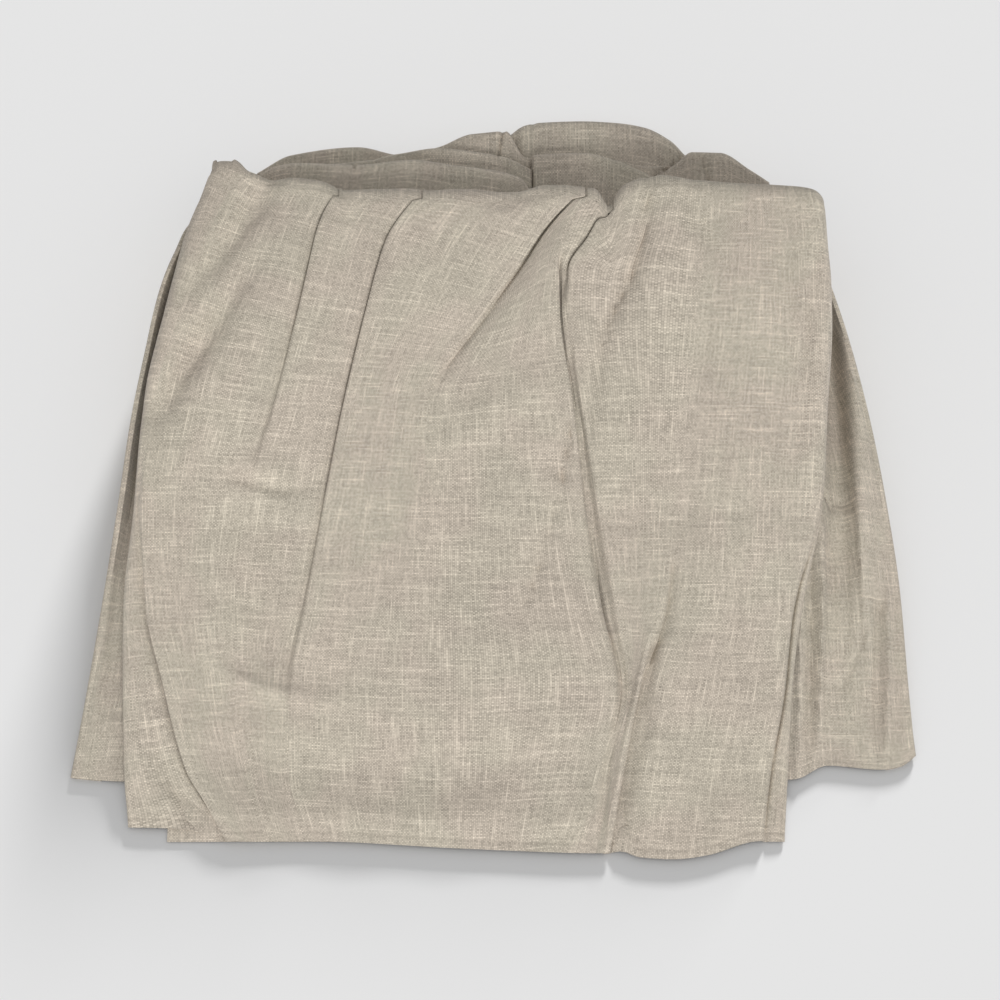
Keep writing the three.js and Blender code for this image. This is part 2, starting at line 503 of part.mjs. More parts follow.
function platform() {
  const top = (x, y) => farCrown(x, Math.min(y, FAR_END)) - STEP - 2 * ease((x - 110) / 30);
  const places = { low: nosePlace('low'), mid: nosePlace('mid'), top: nosePlace('top') };
  const shares = { low: nosePlace('lowHigh'), mid: nosePlace('midHigh'), top: nosePlace('topHigh') };
  // the heights of the six layers at a place: three open folds, two close ones
  const heights = (x, y) => {
    const room = Math.max(top(x, y) - THICK / 2 - 2 * STEP, 3 * STEP);
    const blend = ease((y - 60) / 90);
    const share = name => {
      const total = shares.low(x) + shares.mid(x) + shares.top(x);
      return Math.max(STEP, room * mix(1 / 3, shares[name](x) / total, blend));
    };
    const z = [THICK / 2];
    z.push(z[0] + share('low'));
    z.push(z[1] + STEP);
    z.push(z[2] + share('mid'));
    z.push(z[3] + STEP);
    z.push(z[4] + share('top'));
    return z;
  };
  const columns = [...steps(-128, 14, 8), 23, ...steps(36, 148, 8)];
  const path = [];     // each point of the section as a function of x
  const at = (number, place) => path.push(x => [place(x), heights(x, place(x))[number]]);
  const layer = (number, nearEnd, farEnd, outwards) => {
    const places = [near(nearEnd), ...STATIONS_UNDER.filter(y => y > nearEnd).map(near), farEnd];
    (outwards ? places : places.reverse()).forEach(place => at(number, place));
  };
  const turn = (lower, upper, place, side) => (side > 0 ? [45, 90, 135] : [90]).forEach(degrees => path.push(x => {
    const y = place(x), z = heights(x, y);
    const radius = (z[upper] - z[lower]) / 2;
    const angle = THREE.MathUtils.degToRad(degrees);
    const sign = upper > lower ? 1 : -1;
    return [y + side * Math.abs(radius) * Math.sin(angle) * 0.999,
            (z[upper] + z[lower]) / 2 - sign * Math.abs(radius) * Math.cos(angle)];
  }));
  const before = (name, lower, upper) => x => {
    const y = places[name](x), z = heights(x, y);
    return y - Math.abs(z[upper] - z[lower]) / 2;
  };
  const near = y => () => y;
  const ends = { low: before('low', 0, 1), mid: before('mid', 2, 3), top: before('top', 4, 5) };
  layer(0, NEAR_TURNS.start, ends.low, true);
  turn(0, 1, ends.low, 1);
  layer(1, NEAR_TURNS.first, ends.low, false);
  turn(1, 2, near(NEAR_TURNS.first), -1);
  layer(2, NEAR_TURNS.first, ends.mid, true);
  turn(2, 3, ends.mid, 1);
  layer(3, NEAR_TURNS.second, ends.mid, false);
  turn(3, 4, near(NEAR_TURNS.second), -1);
  layer(4, NEAR_TURNS.second, ends.top, true);
  turn(4, 5, ends.top, 1);
  layer(5, NEAR_TURNS.end, ends.top, false);
  const grid = path.map(point => columns.map(x => {
    const [y, z] = point(x);
    return new THREE.Vector3(x, y, z);
  }));
  return sheet('platform', grid);
}

// ---- the bundle, with its middle over the origin ----------------------------

const bundle = new THREE.Group();
bundle.add(nearDrop(), footDrop(), farDrop(), platform());

const box = new THREE.Box3().setFromObject(bundle);
const middle = box.getCenter(new THREE.Vector3());
bundle.position.set(-middle.x, -middle.y, -box.min.z);

const bedSkirt = new THREE.Group();
bedSkirt.add(bundle);
export default bedSkirt;
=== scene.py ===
"""Looks for a folded linen bed skirt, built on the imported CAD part.

The four sheets of the part are rebuilt here as finer cloth on the same folds:
thinner, with round turns at every pleat, small unevenness, hem stitching and a
procedural slub weave. The tables are in millimetres, as a cutter would write
them; every mesh is made in metres.
"""
import math

import bpy
import numpy as np
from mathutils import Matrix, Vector


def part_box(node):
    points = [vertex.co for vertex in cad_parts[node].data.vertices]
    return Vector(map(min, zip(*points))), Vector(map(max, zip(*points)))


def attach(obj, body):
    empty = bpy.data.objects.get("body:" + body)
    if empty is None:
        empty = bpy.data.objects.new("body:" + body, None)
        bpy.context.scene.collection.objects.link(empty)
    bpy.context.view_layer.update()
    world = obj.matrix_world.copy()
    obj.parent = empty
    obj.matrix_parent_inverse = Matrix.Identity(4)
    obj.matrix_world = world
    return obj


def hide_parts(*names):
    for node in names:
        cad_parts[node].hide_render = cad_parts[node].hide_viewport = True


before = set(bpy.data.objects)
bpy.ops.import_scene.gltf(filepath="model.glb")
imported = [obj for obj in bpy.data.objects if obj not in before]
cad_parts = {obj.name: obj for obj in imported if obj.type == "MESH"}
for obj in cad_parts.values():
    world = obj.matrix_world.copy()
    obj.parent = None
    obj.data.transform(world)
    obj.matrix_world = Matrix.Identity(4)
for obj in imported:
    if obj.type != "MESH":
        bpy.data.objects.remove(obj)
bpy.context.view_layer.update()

MM = 0.001
CLOTH = 0.55            # thickness of the cloth
CAD_THICK = 1.0         # thickness of the CAD part's cloth
STEP = 1.5              # between the middles of two layers that lie close
UNEVEN = 0.5            # height of the soft unevenness of the panel and the wings
SHARP_EDGE = 60         # degrees between two faces, past which shading is sharp
PLATFORM_START = -95.0  # near end of the platform in the tables' own frame

# The tables count from the middle of the panel on top. The CAD part is centred
# on its box, so the platform's near edge says how far the tables move.
SHIFT_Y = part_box("platform")[0][1] / MM - PLATFORM_START


# ---- small tools ------------------------------------------------

def mix(a, b, t):
    return a + (b - a) * t


def ease(t):
    s = np.clip(t, 0.0, 1.0)
    return s * s * (3 - 2 * s)


def hump(d, width, power=2):
    return np.exp(-np.abs(d / width) ** power)


def curve(xs, ys):
    """A smooth curve through points that doesn't swing past them."""
    x, y = np.asarray(xs, float), np.asarray(ys, float)
    w = np.diff(x)
    slope = np.diff(y) / w
    tangent = np.empty_like(y)
    tangent[0], tangent[-1] = slope[0], slope[-1]
    before, after = slope[:-1], slope[1:]
    same = before * after > 0
    total = np.where(same, before + after, 1.0)
    tangent[1:-1] = np.where(same, 2 * before * after / total, 0.0)

    def at(value):
        value = np.clip(value, x[0], x[-1])
        i = np.clip(np.searchsorted(x, value, side="right") - 1, 0, len(w) - 1)
        t = (value - x[i]) / w[i]
        return ((2 * t ** 3 - 3 * t ** 2 + 1) * y[i]
                + (t ** 3 - 2 * t ** 2 + t) * w[i] * tangent[i]
                + (3 * t ** 2 - 2 * t ** 3) * y[i + 1]
                + (t ** 3 - t ** 2) * w[i] * tangent[i + 1])
    return at


def spans(*parts):
    """Even steps over each part, given as its start, end and count."""
    return np.concatenate([np.linspace(*part) for part in parts])


def table(columns, rows):
    """Rows of numbers under named columns, as a dict of arrays."""
    return dict(zip(columns.split(), np.array(rows, float).T))


def waves(seed, short, long, count=26):
    """Soft random unevenness over the cloth, from a fixed seed, about 1 high."""
    draw = np.random.default_rng(seed)
    length = np.exp(draw.uniform(math.log(short), math.log(long), count))
    angle = draw.uniform(0, 2 * math.pi, count)
    phase = draw.uniform(0, 2 * math.pi, count)

    def at(x, y):
        total = np.zeros(np.broadcast(x, y).shape)
        for k in range(count):
            across = x * math.cos(angle[k]) + y * math.sin(angle[k])
            total += np.cos(2 * math.pi * across / length[k] + phase[k])
        return total * math.sqrt(2 / count) / 2
    return at


# ---- heights down the middle of the bundle ----------------------

LAYERS = table("y near foot far", [
    (-172, 2.4, 0.9, 2.1),
    (-155, 5.0, 3.5, 2.1),
    (-130, 9.0, 7.5, 2.1),
    (-100, 14.0, 12.5, 5.6),
    (-40, 26.0, 24.5, 17.2),
    (0, 36.0, 34.5, 28.0),
    (40, 44.8, 42.8, 32.5),
    (70, 51.4, 43.5, 33.5),
    (110, 60.0, 40.5, 32.5),
    (150, 66.0, 39.2, 28.0),
])
near_top = curve(LAYERS["y"], LAYERS["near"])
foot_top = curve(LAYERS["y"], LAYERS["foot"])
far_top = curve(LAYERS["y"], LAYERS["far"])


# ---- a sheet of cloth from its middle surface -------------------

def arc_lengths(points, axis):
    """Distance along the cloth from its first row or column."""
    lengths = np.linalg.norm(np.diff(points, axis=axis), axis=2)
    start = np.zeros_like(points[..., 0])
    if axis == 0:
        start[1:] = np.cumsum(lengths, axis=0)
    else:
        start[:, 1:] = np.cumsum(lengths, axis=1)
    return start


def cloth(name, points, grain=None):
    """A closed thin mesh from points[row, column], with its UVs in metres of cloth.

    grain may give each point's own place in the cloth as (across, along) in
    millimetres, and the columns after which the cloth starts anew under a fold.
    """
    rows, columns = points.shape[:2]
    along = np.gradient(points, axis=0)
    across = np.gradient(points, axis=1)
    normal = np.cross(across, along)
    normal /= np.maximum(np.linalg.norm(normal, axis=2, keepdims=True), 1e-9)
    over = points + normal * CLOTH / 2
    under = points - normal * CLOTH / 2
    vertices = np.concatenate([over.reshape(-1, 3), under.reshape(-1, 3)])
    vertices = (vertices + (0, SHIFT_Y, 0)) * MM

    j, i = np.meshgrid(np.arange(rows - 1), np.arange(columns - 1), indexing="ij")
    a = (j * columns + i).ravel()
    top = np.stack([a, a + 1, a + columns + 1, a + columns], axis=1)
    low = top[:, ::-1] + rows * columns

    def edge(first, second):
        return np.stack([first, first + rows * columns,
                         second + rows * columns, second], axis=1)
    k = np.arange(columns - 1)
    m = np.arange(rows - 1) * columns
    last = (rows - 1) * columns
    rim = np.concatenate([
        edge(k, k + 1), edge(last + k + 1, last + k),
        edge(m + columns, m), edge(m + columns - 1, m + 2 * columns - 1)])
    faces = np.concatenate([top, low, rim])

    width = arc_lengths(points, 1)
    if grain is None:
        u = width.mean(axis=0) + np.zeros((rows, 1))
        v = arc_lengths(points, 0).mean(axis=1)[:, None] + np.zeros(columns)
        cuts = ()
    else:
        u, v, cuts = grain
    uv = np.stack([u, v], axis=2).reshape(-1, 2)
    corner = uv[faces % (rows * columns)]
    # past a cut, a face's right side goes on from its left side, over and under
    sides = ((0, (0, 3), (1, 2)), (len(top), (3, 0), (2, 1)))
    for cut in cuts:
        for block, left, right in sides:
            at = block + np.arange(rows - 1) * (columns - 1) + cut
            for near, far in zip(left, right):
                vertex = faces[at, near] % (rows * columns)
                row = vertex // columns
                step = width[row, cut + 1] - width[row, cut]
                corner[at, far, 0] = u[row, cut] + step
                corner[at, far, 1] = v[row, cut]

    mesh = bpy.data.meshes.new(name)
    mesh.vertices.add(len(vertices))
    mesh.vertices.foreach_set("co", vertices.ravel())
    mesh.loops.add(faces.size)
    mesh.loops.foreach_set("vertex_index", faces.ravel())
    mesh.polygons.add(len(faces))
    mesh.polygons.foreach_set("loop_start", np.arange(0, faces.size, 4))
    mesh.polygons.foreach_set("loop_total", np.full(len(faces), 4))
    mesh.update()
    layer = mesh.uv_layers.new(name="cloth")
    layer.data.foreach_set("uv", (corner * MM).ravel())
    mesh.validate()
    mesh.shade_smooth()
    mesh.set_sharp_from_angle(angle=math.radians(SHARP_EDGE))
    piece = bpy.data.objects.new(name, mesh)
    bpy.context.scene.collection.objects.link(piece)
    return piece


def up(end, *rows, side=0, steep=1.2, power=2):
    """A soft trough (-) or ridge (+) that runs up the cloth: rows of y, x, width
    and height. It fades out over `end` past its first and last rows. With a side
    (-1 left, 1 right) it has its width on that side and is `steep` on the other."""
    return dict(runs="up", end=end, rows=rows, side=side, steep=steep, power=power)


def across(end, *rows):
    """One that runs across the cloth: rows of x, y, width and height."""
    return dict(up(end, *rows), runs="across")


def folds_at(folds, x, y):
    """The height that all of these folds add at a place."""
    total = np.zeros(np.broadcast(x, y).shape)
    for fold in folds:
        run, place = (y, x) if fold["runs"] == "up" else (x, y)
        at, middle, width, height = np.array(sorted(fold["rows"]), float).T
        end, side = fold["end"], fold["side"]
        off = place - curve(at, middle)(run)
        wide = curve(at, width)(run)
        if side:
            wide = np.where(off * side > 0, wide, fold["steep"])
        fade = ease((run - at[0] + end) / end) * ease((at[-1] + end - run) / end)
        total = total + curve(at, height)(run) * hump(off, wide, fold["power"]) * fade
    return total


# ---- far drop: the two wings ------------------------------------

WINGS = table("y left right left_rim right_rim", [
    (-134, -209, 209, 2.1, 2.1),
    (-88, -203, 207, 7, 7),
    (-40, -197, 205, 13, 13),
    (8, -191.5, 200, 20, 19),
    (50, -187, 194, 26, 23),
    (87, -180.5, 187, 33, 25),
    (112, -175.5, 181, 38, 26),
    (130, -170, 176, 41, 26),
    (141, -166, 172, 41, 26),
    (151, -163, 169, 39, 26),
    (170, -154, 164, 27, 25),
])
wing_left = curve(WINGS["y"], WINGS["left"])
wing_right = curve(WINGS["y"], WINGS["right"])
left_rim = curve(WINGS["y"], WINGS["left_rim"])
right_rim = curve(WINGS["y"], WINGS["right_rim"])
WING_HEM = table("x y", [
    (-209, -133), (-183, -135), (148, -134), (165, -127),
    (191, -129), (202, -127), (210, -121),
])
wing_hem = curve(WING_HEM["x"], WING_HEM["y"])
WING_FOLDS = [
    # left wing: a thin raised rim, with a deep gap between it and the panel
    up(6, (144, -158, 4, -24), (122, -163, 6, -26), (98, -167, 7.5, -24), (70, -172, 9, -19),
       (30, -179, 9.5, -13), (-10, -182, 9, -7.5), (-50, -186, 8, -4), (-100, -188, 8, -1.4),
       power=5),
    up(20, (-30, -195, 3, 0.8), (-110, -200, 4, 0.7)),
    # right wing: the deep gap beside the panel, and the outer fold's edge over it
    up(20, (130, 172, 6, -19), (90, 174.5, 7, -19), (50, 175.5, 7.5, -17), (10, 174.5, 8, -13),
       (-20, 174, 8, -10), (-50, 173, 7, -4.5), (-90, 172, 7, -1.2), power=3),
    up(24, (100, 180, 5, 3.2), (61, 182, 7, 4.2), (23, 183, 9, 4.8), (-13, 184, 9, 4.0),
       (-46, 185, 9, 2.4), (-80, 187, 9, 0.8), side=1, steep=0.7),
    up(14, (-37, 155, 1.6, 2.2), (-63, 153, 1.6, 2.6), (-94, 152, 1.6, 2.2), (-127, 150, 1.6, 1.4)),
    up(10, (-13, 166, 1.6, 3.0), (-43, 165, 1.6, 3.4), (-84, 163, 1.5, 2.8), (-119, 161, 1.5, 1.4)),
    up(14, (-20, 160, 2.2, -3.2), (-80, 158, 2.0, -3.0), (-115, 156, 2.0, -1.6)),
    across(3, (165, 12, 1.8, -2.2), (168, 9, 1.8, -3.6), (171, 4, 1.6, -2.6)),
    up(12, (-30, 175, 3, 1.2), (-60, 174, 3, 0.8)),
    up(12, (-46, 198, 1.6, 2.0), (-84, 197, 1.6, 2.5), (-117, 195, 1.6, 1.5)),
    up(12, (-50, 193, 2.4, -2.6), (-90, 191, 2.4, -2.8), (-118, 190, 2.4, -1.3)),
    across(8, (166, 10, 3, -1.6), (178, 6, 3, -1.2)),
    across(10, (174, -88, 4, -0.8), (184, -66, 4, -1.0), (190, -50, 4, -0.6)),
]
FAR_HEM = -134.0        # level of the wings' first row
FAR_END = 166.0         # and of their last
HEM_FOLLOW = 24.0       # up to here from the first row, the rows follow the hem's line
CALM_HEM = 30.0         # and up to here they are less uneven
WING_CROWN = 34.0       # a wing rises from its rim to its full height over this much
RIM_WIDTH = 2.0
RIM_PLAIN = 3.2         # the rim itself has no folds: they start this far in
FLAP = 12.0             # cloth folded under at each side
WALL_INSET = 3.0
WALL = [
    # a wing's edge, from the end of its flap up to its rim: how far in, how high
    (WALL_INSET + FLAP, 0), (WALL_INSET + FLAP * 0.7, 0), (WALL_INSET + FLAP * 0.3, 0),
    (WALL_INSET, 0), (WALL_INSET * 0.5, 0.08), (WALL_INSET * 0.2, 0.28),
    (0, 0.62), (0.3, 0.85), (1.0, 0.97),
]
wing_uneven = waves(5, 30, 110)


def wing_rim(x, y):
    return np.where(x < 0, left_rim(y), right_rim(y))


def wing_surface(x, y):
    """The wings' height without their folds, and how far in from the edge it is."""
    inner = np.minimum(x - wing_left(y), wing_right(y) - x)
    return mix(wing_rim(x, y), far_top(y), ease(inner / WING_CROWN)), inner


def far_height(x, y):
    surface, inner = wing_surface(x, y)
    return surface + folds_at(WING_FOLDS, x, y) * ease((inner - RIM_PLAIN) / 1.8)


def wing_wall(edge, inwards, y):
    """Points up a wing's edge, from the end of its flap to its rim."""
    foot = CLOTH / 2
    rim = max(float(wing_rim(edge, y)), foot + STEP)
    return [(edge + inwards * inset, mix(foot, rim, rise)) for inset, rise in WALL]


def make_far_drop():
    # closer columns in the two wings than in the hidden middle
    share = spans((0, 0.155, 51, False), (0.155, 0.80, 49, False), (0.80, 1, 74))
    grid = []
    for level in np.linspace(FAR_HEM, FAR_END, 150):
        left, right = float(wing_left(level)), float(wing_right(level))
        x = mix(left + RIM_WIDTH, right - RIM_WIDTH, share)
        z = np.maximum(far_height(x, np.full_like(x, level)), CLOTH / 2 + STEP)
        z = z + UNEVEN * wing_uneven(x, level) * np.clip((level - FAR_HEM) / CALM_HEM, 0, 1)
        section = wing_wall(left, 1, level) + list(zip(x, z)) + wing_wall(right, -1, level)[::-1]
        section = np.array(section)
        nearness = max(0.0, 1 - (level - FAR_HEM) / HEM_FOLLOW)
        y = level + (wing_hem(section[:, 0]) - FAR_HEM) * nearness
        grid.append(np.column_stack([section[:, 0], y, section[:, 1]]))
    return cloth("far_drop_cloth", np.array(grid))


# ---- near drop: the panel on top --------------------------------

STATIONS = np.array([-169, -130, -90, -50, 0, 50, 100, 115, 130, 156], float)
LINES = {
    # lines up the panel: their place across at every station, hem to crest
    "left_edge": (-179, -182, -184, -185, -181, -178, -169, -165, -160.5, -147),
    "left_pleat": (-130, -151, -163, -173.5, -177, -171, -158, -151, -143, -128),
    "first_gather": (-110, -120, -127, -129, -124, -110, -98, -94, -90, -79),
    "second_gather": (-92, -101, -101, -94, -85, -75, -63, -59, -54, -36),
    "third_gather": (-34, -36, -38, -38, -36, -33, -1.5, 10, 22, 46),
    "tongue": (40, 52, 61.5, 53, 45, 39, 32.5, 32.5, 36, 50),
    "centre_pleat": (47, 57, 66.5, 60, 52, 45, 36.8, 37.8, 48.5, 62),
    "pinch": (56, 63.5, 72, 85, 92, 98, 104, 106, 108, 110),
    "right_ridge": (130, 135, 143, 148, 150, 153, 157, 157, 157, 155),
    "right_edge": (142, 145, 148, 154, 165, 169.5, 173.5, 173.5, 172.5, 170),
}
FILL = {
    # columns of cloth between each line and the next
    "left_edge": 17, "left_pleat": 15, "first_gather": 12, "second_gather": 22,
    "third_gather": 22, "tongue": 6, "centre_pleat": 16, "pinch": 22, "right_ridge": 18,
}
PLEATS = {
    # over +1: the right side lies over the left. The upper side stands `lift`
    # over the other and laps it by `lap`; the other dips by `dip`. The lap closes
    # between `whole` and `shut`, and all is gone at `gone`; `top` is where it
    # starts, if not at the crest. The rise and the dip run out over `fade` and
    # `dips`, `power` is how abruptly, and `groove` is the crevice under the lap.
    "left_pleat": dict(over=1, lap=7, lift=3.2, dip=1.6, whole=-115, shut=0, gone=46,
                       fade=22, dips=5),
    "first_gather": dict(over=1, lap=4, lift=3.0, dip=1.4, whole=150, shut=44, gone=4,
                         fade=13, dips=5),
    "second_gather": dict(over=1, lap=6, lift=3.1, dip=1.4, whole=120, shut=-70, gone=-120,
                          fade=18, dips=5),
    "third_gather": dict(over=-1, lap=3, lift=2.6, dip=4.6, whole=150, shut=84, gone=38,
                         fade=16, dips=8, power=1.2, groove=3.0),
    "tongue": dict(over=-1, lap=4, lift=3.2, dip=3.8, whole=-30, shut=-96, gone=-118,
                   fade=16, dips=6, power=1.6, groove=2.8, top=114),
    "centre_pleat": dict(over=1, lap=5, lift=3.0, dip=1.6, whole=124, shut=108, gone=96,
                         fade=16, dips=7, groove=2.4),
    "pinch": dict(over=-1, lap=2, lift=3.2, dip=3.2, whole=-96, shut=-70, gone=-52,
                  fade=3.4, dips=3.6, power=1.6, groove=2.0),
}
PANEL_FOLDS = [
    # the wide soft shapes, from the left
    across(30, (-150, 176, 34, -4.0), (-112, 178, 32, -3.4), (-70, 178, 26, -1.6)),
    across(30, (-165, 52, 46, 2.0), (-130, 52, 46, 2.4), (-95, 55, 44, 1.4)),
    across(40, (-160, -66, 44, 0.8), (-110, -70, 52, 1.8), (40, -74, 56, 2.6), (130, -70, 50, 1.8)),
    across(16, (-168, 46, 11, -2.8), (-154, 70, 13, -4.2), (-139, 94, 12, -3.4),
           (-123, 122, 11, -1.6)),
    up(24, (60, -146, 14, 1.2), (10, -152, 14, 1.6), (-60, -140, 16, 1.6)),
    up(14, (166, -120, 7, -2.2), (152, -125, 8, -3.4), (138, -133, 8, -3.4), (122, -143, 8, -2.6),
       (108, -152, 7, -1.4)),
    up(20, (-14, -122, 9, -1.6), (-43, -120, 10, -1.8), (-73, -113, 10, -1.4)),
    across(9, (-130, 12, 3.2, -1.2), (-120, 9, 3, -1.5), (-110, 6.5, 3, -1.3), (-100, 6, 3.6, -1.0),
           (-88, 11, 4, -0.5)),
    across(8, (-124, 18, 4, 0.9), (-108, 14, 5, 1.0)),
    across(14, (-145, -75, 4, 0.6), (-125, -88, 4, 1.2), (-101, -95, 4, 1.5), (-84, -98, 4, 1.2),
           (-66, -97, 5, 0.5)),
    across(30, (-133, -127, 12, -1.5), (-46, -132, 13, -2.2), (37, -128, 12, -1.2)),
    across(30, (-120, -154, 7, 0.7), (-20, -156, 7, 0.9), (40, -156, 7, 0.5)),
    # between the second and third gathers
    up(24, (14, -20, 16, -1.3), (-33, -17, 17, -1.8), (-87, -14, 15, -1.0)),
    across(16, (-24, 24, 10, 1.2), (0, 46, 12, 1.8), (20, 58, 10, 1.2)),
    up(20, (110, -40, 16, 0.9), (40, -58, 16, 1.0), (-30, -68, 14, 0.8)),
    across(8, (-33, 165, 3, -1.0), (-15, 158, 4, -1.8), (6, 153, 4, -1.8), (24, 158, 3.5, -0.9)),
    # small sharp creases left of the centre
    up(8, (34, 38, 3, -1.5), (14, 34.5, 3, -1.7), side=-1, steep=0.9),
    up(12, (-5, 30.5, 4, -0.9), (-15, 27, 4, -0.8), side=-1, steep=0.6),
    up(9, (-28, 23, 3.5, -1.3), (-40, 20, 3.5, -1.6), (-56, 14, 4, -1.1), side=-1, steep=1.0),
    up(20, (70, 39, 1.6, -0.8), (30, 44.5, 2.2, -1.8), (-20, 50.5, 3.4, -1.8),
       (-55, 56.5, 3.6, -1.4), (-84, 63, 3.0, -0.8), power=4),
    up(14, (-48, 66, 6, -0.8), (-70, 68, 6, -1.4), (-92, 66, 4, -1.0)),
    up(14, (28, 38, 1.5, -0.8), (0, 32, 1.6, -0.9), (-22, 25.5, 1.6, -0.9), (-44, 19.5, 1.5, -0.8)),
    # right of the centre: the long soft valley and what lies about it
    up(14, (155, 79, 3.5, -2.0), (129, 75, 3.6, -2.8), (110, 68, 4, -3.0), (96, 61, 4.5, -2.8),
       (84, 56.5, 5, -2.2), (66, 53, 5, -1.8), (40, 50, 5, -1.2), side=-1, steep=2.0),
    up(16, (145, 91, 8, 0.9), (110, 84, 9, 1.3), (70, 72, 10, 0.9), (30, 66, 10, 0.4)),
    up(12, (151, 101, 3, -0.9), (140, 106, 3.4, -1.3), (130, 111, 3, -0.7)),
    up(14, (98, 110, 4, -0.7), (72, 105, 4, -0.8)),
    across(26, (62, -8, 9, -0.9), (95, -5, 10, -1.1), (150, -2, 9, -0.8)),
    up(16, (-32, 121, 5, -0.7), (-55, 119, 5, -0.9), (-76, 116, 5, -0.5)),
    up(20, (60, 122, 16, 0.9), (0, 116, 18, 1.3), (-90, 104, 16, 0.9)),
    up(20, (120, 150, 6, -0.8), (70, 150, 5, -1.0), (27, 147, 5, -0.7)),
    up(14, (126, 164, 5, -0.8), (91, 159, 5, -1.3), (74, 157, 5, -1.2), (46, 155, 5, -1.0),
       (27, 150, 5, -0.6), side=1, steep=1.3),
    # over and beside the pinched ridge
    up(12, (-70, 76.5, 1.5, 0.8), (-100, 69, 1.5, 1.0), (-130, 62.5, 1.5, 1.0),
       (-158, 57, 1.5, 0.8)),
    up(7, (-34, 89, 3, -1.4), (-52, 86.5, 3, -1.9), (-66, 83, 3, -1.7), (-74, 78, 3, -1.0), side=1,
       steep=1.0),
    up(10, (-112, 60, 2.5, -1.0), (-131, 55.5, 2.5, -1.5), (-160, 52.5, 2.5, -1.2)),
    up(12, (-78, 80, 5, -1.6), (-110, 75, 5.5, -2.2), (-140, 68.5, 6, -2.0), (-152, 66, 5, -1.2),
       side=-1, steep=1.3),
    up(3, (-151, 60, 2.2, -1.4), (-159, 65, 2.2, -2.0), (-170, 72, 2.4, -2.4), side=1, steep=0.8),
    # the left pleat's hollow by the hem
    up(12, (-118, -166, 5, -0.9), (-130, -162, 6, -1.8), (-146, -151, 6, -2.4),
       (-162, -139, 5, -1.8)),
]
RIGHT_STEP = table("y x deep", [
    # the layer that shows below the panel's right edge: where, and how much lower
    (-169, 131, 1.2), (-159, 131.5, 1.8), (-131, 135, 3.0), (-93, 142.5, 3.4), (-55, 147.5, 3.4),
    (-38, 151.5, 3.0), (-19, 158, 2.0), (2, 163, 0.6), (15, 164, 0.0),
])
EDGES = table("y left right", [
    (-172, 0.6, 0.6), (-130, 3, 2), (-60, 5, 2.5), (0, 10, 7),
    (50, 15, 14), (100, 23, 21), (130, 24, 19), (145, 18, 11), (160, 12, 7),
])
HEM = table("x y", [
    (-184, -158), (-150, -159), (-134, -165), (-95, -165), (-10, -169),
    (52, -171), (62, -170), (71, -173), (88, -174), (104, -172), (130, -165), (146, -165),
])
NOSE = table("x y", [
    (-153, 180), (-147, 186), (-134, 184.5), (-127, 180), (-116, 177), (-90, 171.5),
    (-81, 166.5), (-77, 163.5), (-60, 164), (-39, 163.5), (-34, 161.5),
    (-20, 163), (12, 164), (26, 167), (40, 165.5), (52, 164), (59, 154), (67, 165),
    (84, 172), (106, 169), (150, 167), (165, 166), (173, 163),
])
GRAIN = dict(
    # how far the weft climbs for each mm across, in each strip up at the gathers
    left_edge=0.26, left_pleat=0.26, first_gather=0.18, second_gather=0.06,
    third_gather=-0.25, tongue=-0.2, centre_pleat=0.05, pinch=0.03, right_ridge=0.0,
)
FOLD_DEPTH = 1.6        # what PANEL_FOLDS' heights are multiplied by
EVEN = 4                # columns to each side over which the weft is evened out
RETURN = 34.0           # how far the heading goes back under the panel
RETURN_SLOPE = 0.14     # and how steeply it rises there
NOSE_RADIUS = 10.5      # of the heading's turn, where there is room
HEM_FREE = -140.0       # nearer than this the panel isn't held up by the wings
RIPPLE = 0.05           # height of its finest unevenness
EDGE_POWER = 3.2        # how squarely the panel turns down at its sides
PANEL_ROWS = ((-169, -162, 13), (-160, 130, 144), (132, 149, 9))
HEM_LEVEL = -169.0      # level of the panel's first row
BROW_LEVEL = 149.0      # and of its last, where the heading starts to turn
HEM_REACH = 40.0        # up to here from the first row, the rows follow the hem's line
NOSE_FROM = 95.0        # and from this level on, the crest's line
MIDDLE_ROW = 100        # the row from which the weave is measured
HEM_DEEP = 4.6          # the hem's stitching: how far in, how deep and how wide
STITCH_DEEP = 0.28
STITCH_WIDE = 0.8
GROOVE = 1.8            # a pleat's crevice, where its table doesn't say
CREST_FROM = 124.0      # pleats lose most of their height from here to the crest
CREST_REACH = 26.0
GROOVE_END = 138.0      # and their crevice from here
GROOVE_FADE = 16.0
TOP_FADE = 16.0         # a pleat with a `top` comes in over this much
TOP_OVER = 12.0         # of which this much lies above it
LEAST_LIFT = 0.4        # share of a pleat's height that is left at the hem
CREST_SAG = 2.5         # how much lower the crest is at its ends
STEP_WIDE = 1.6         # the layer below the right edge: width of the step down
line_at = {name: curve(STATIONS, places) for name, places in LINES.items()}
drop_left = curve(EDGES["y"], EDGES["left"])
drop_right = curve(EDGES["y"], EDGES["right"])
hem_at = curve(HEM["x"], HEM["y"])
nose_at = curve(NOSE["x"], NOSE["y"])
step_x = curve(RIGHT_STEP["y"], RIGHT_STEP["x"])
step_deep = curve(RIGHT_STEP["y"], RIGHT_STEP["deep"])
panel_uneven = waves(11, 40, 130)
panel_ripple = waves(12, 9, 26)


TURN_POINTS = 4         # points round each of a pleat's two turns
LAYER_POINTS = 3        # and on the cloth to each side of it


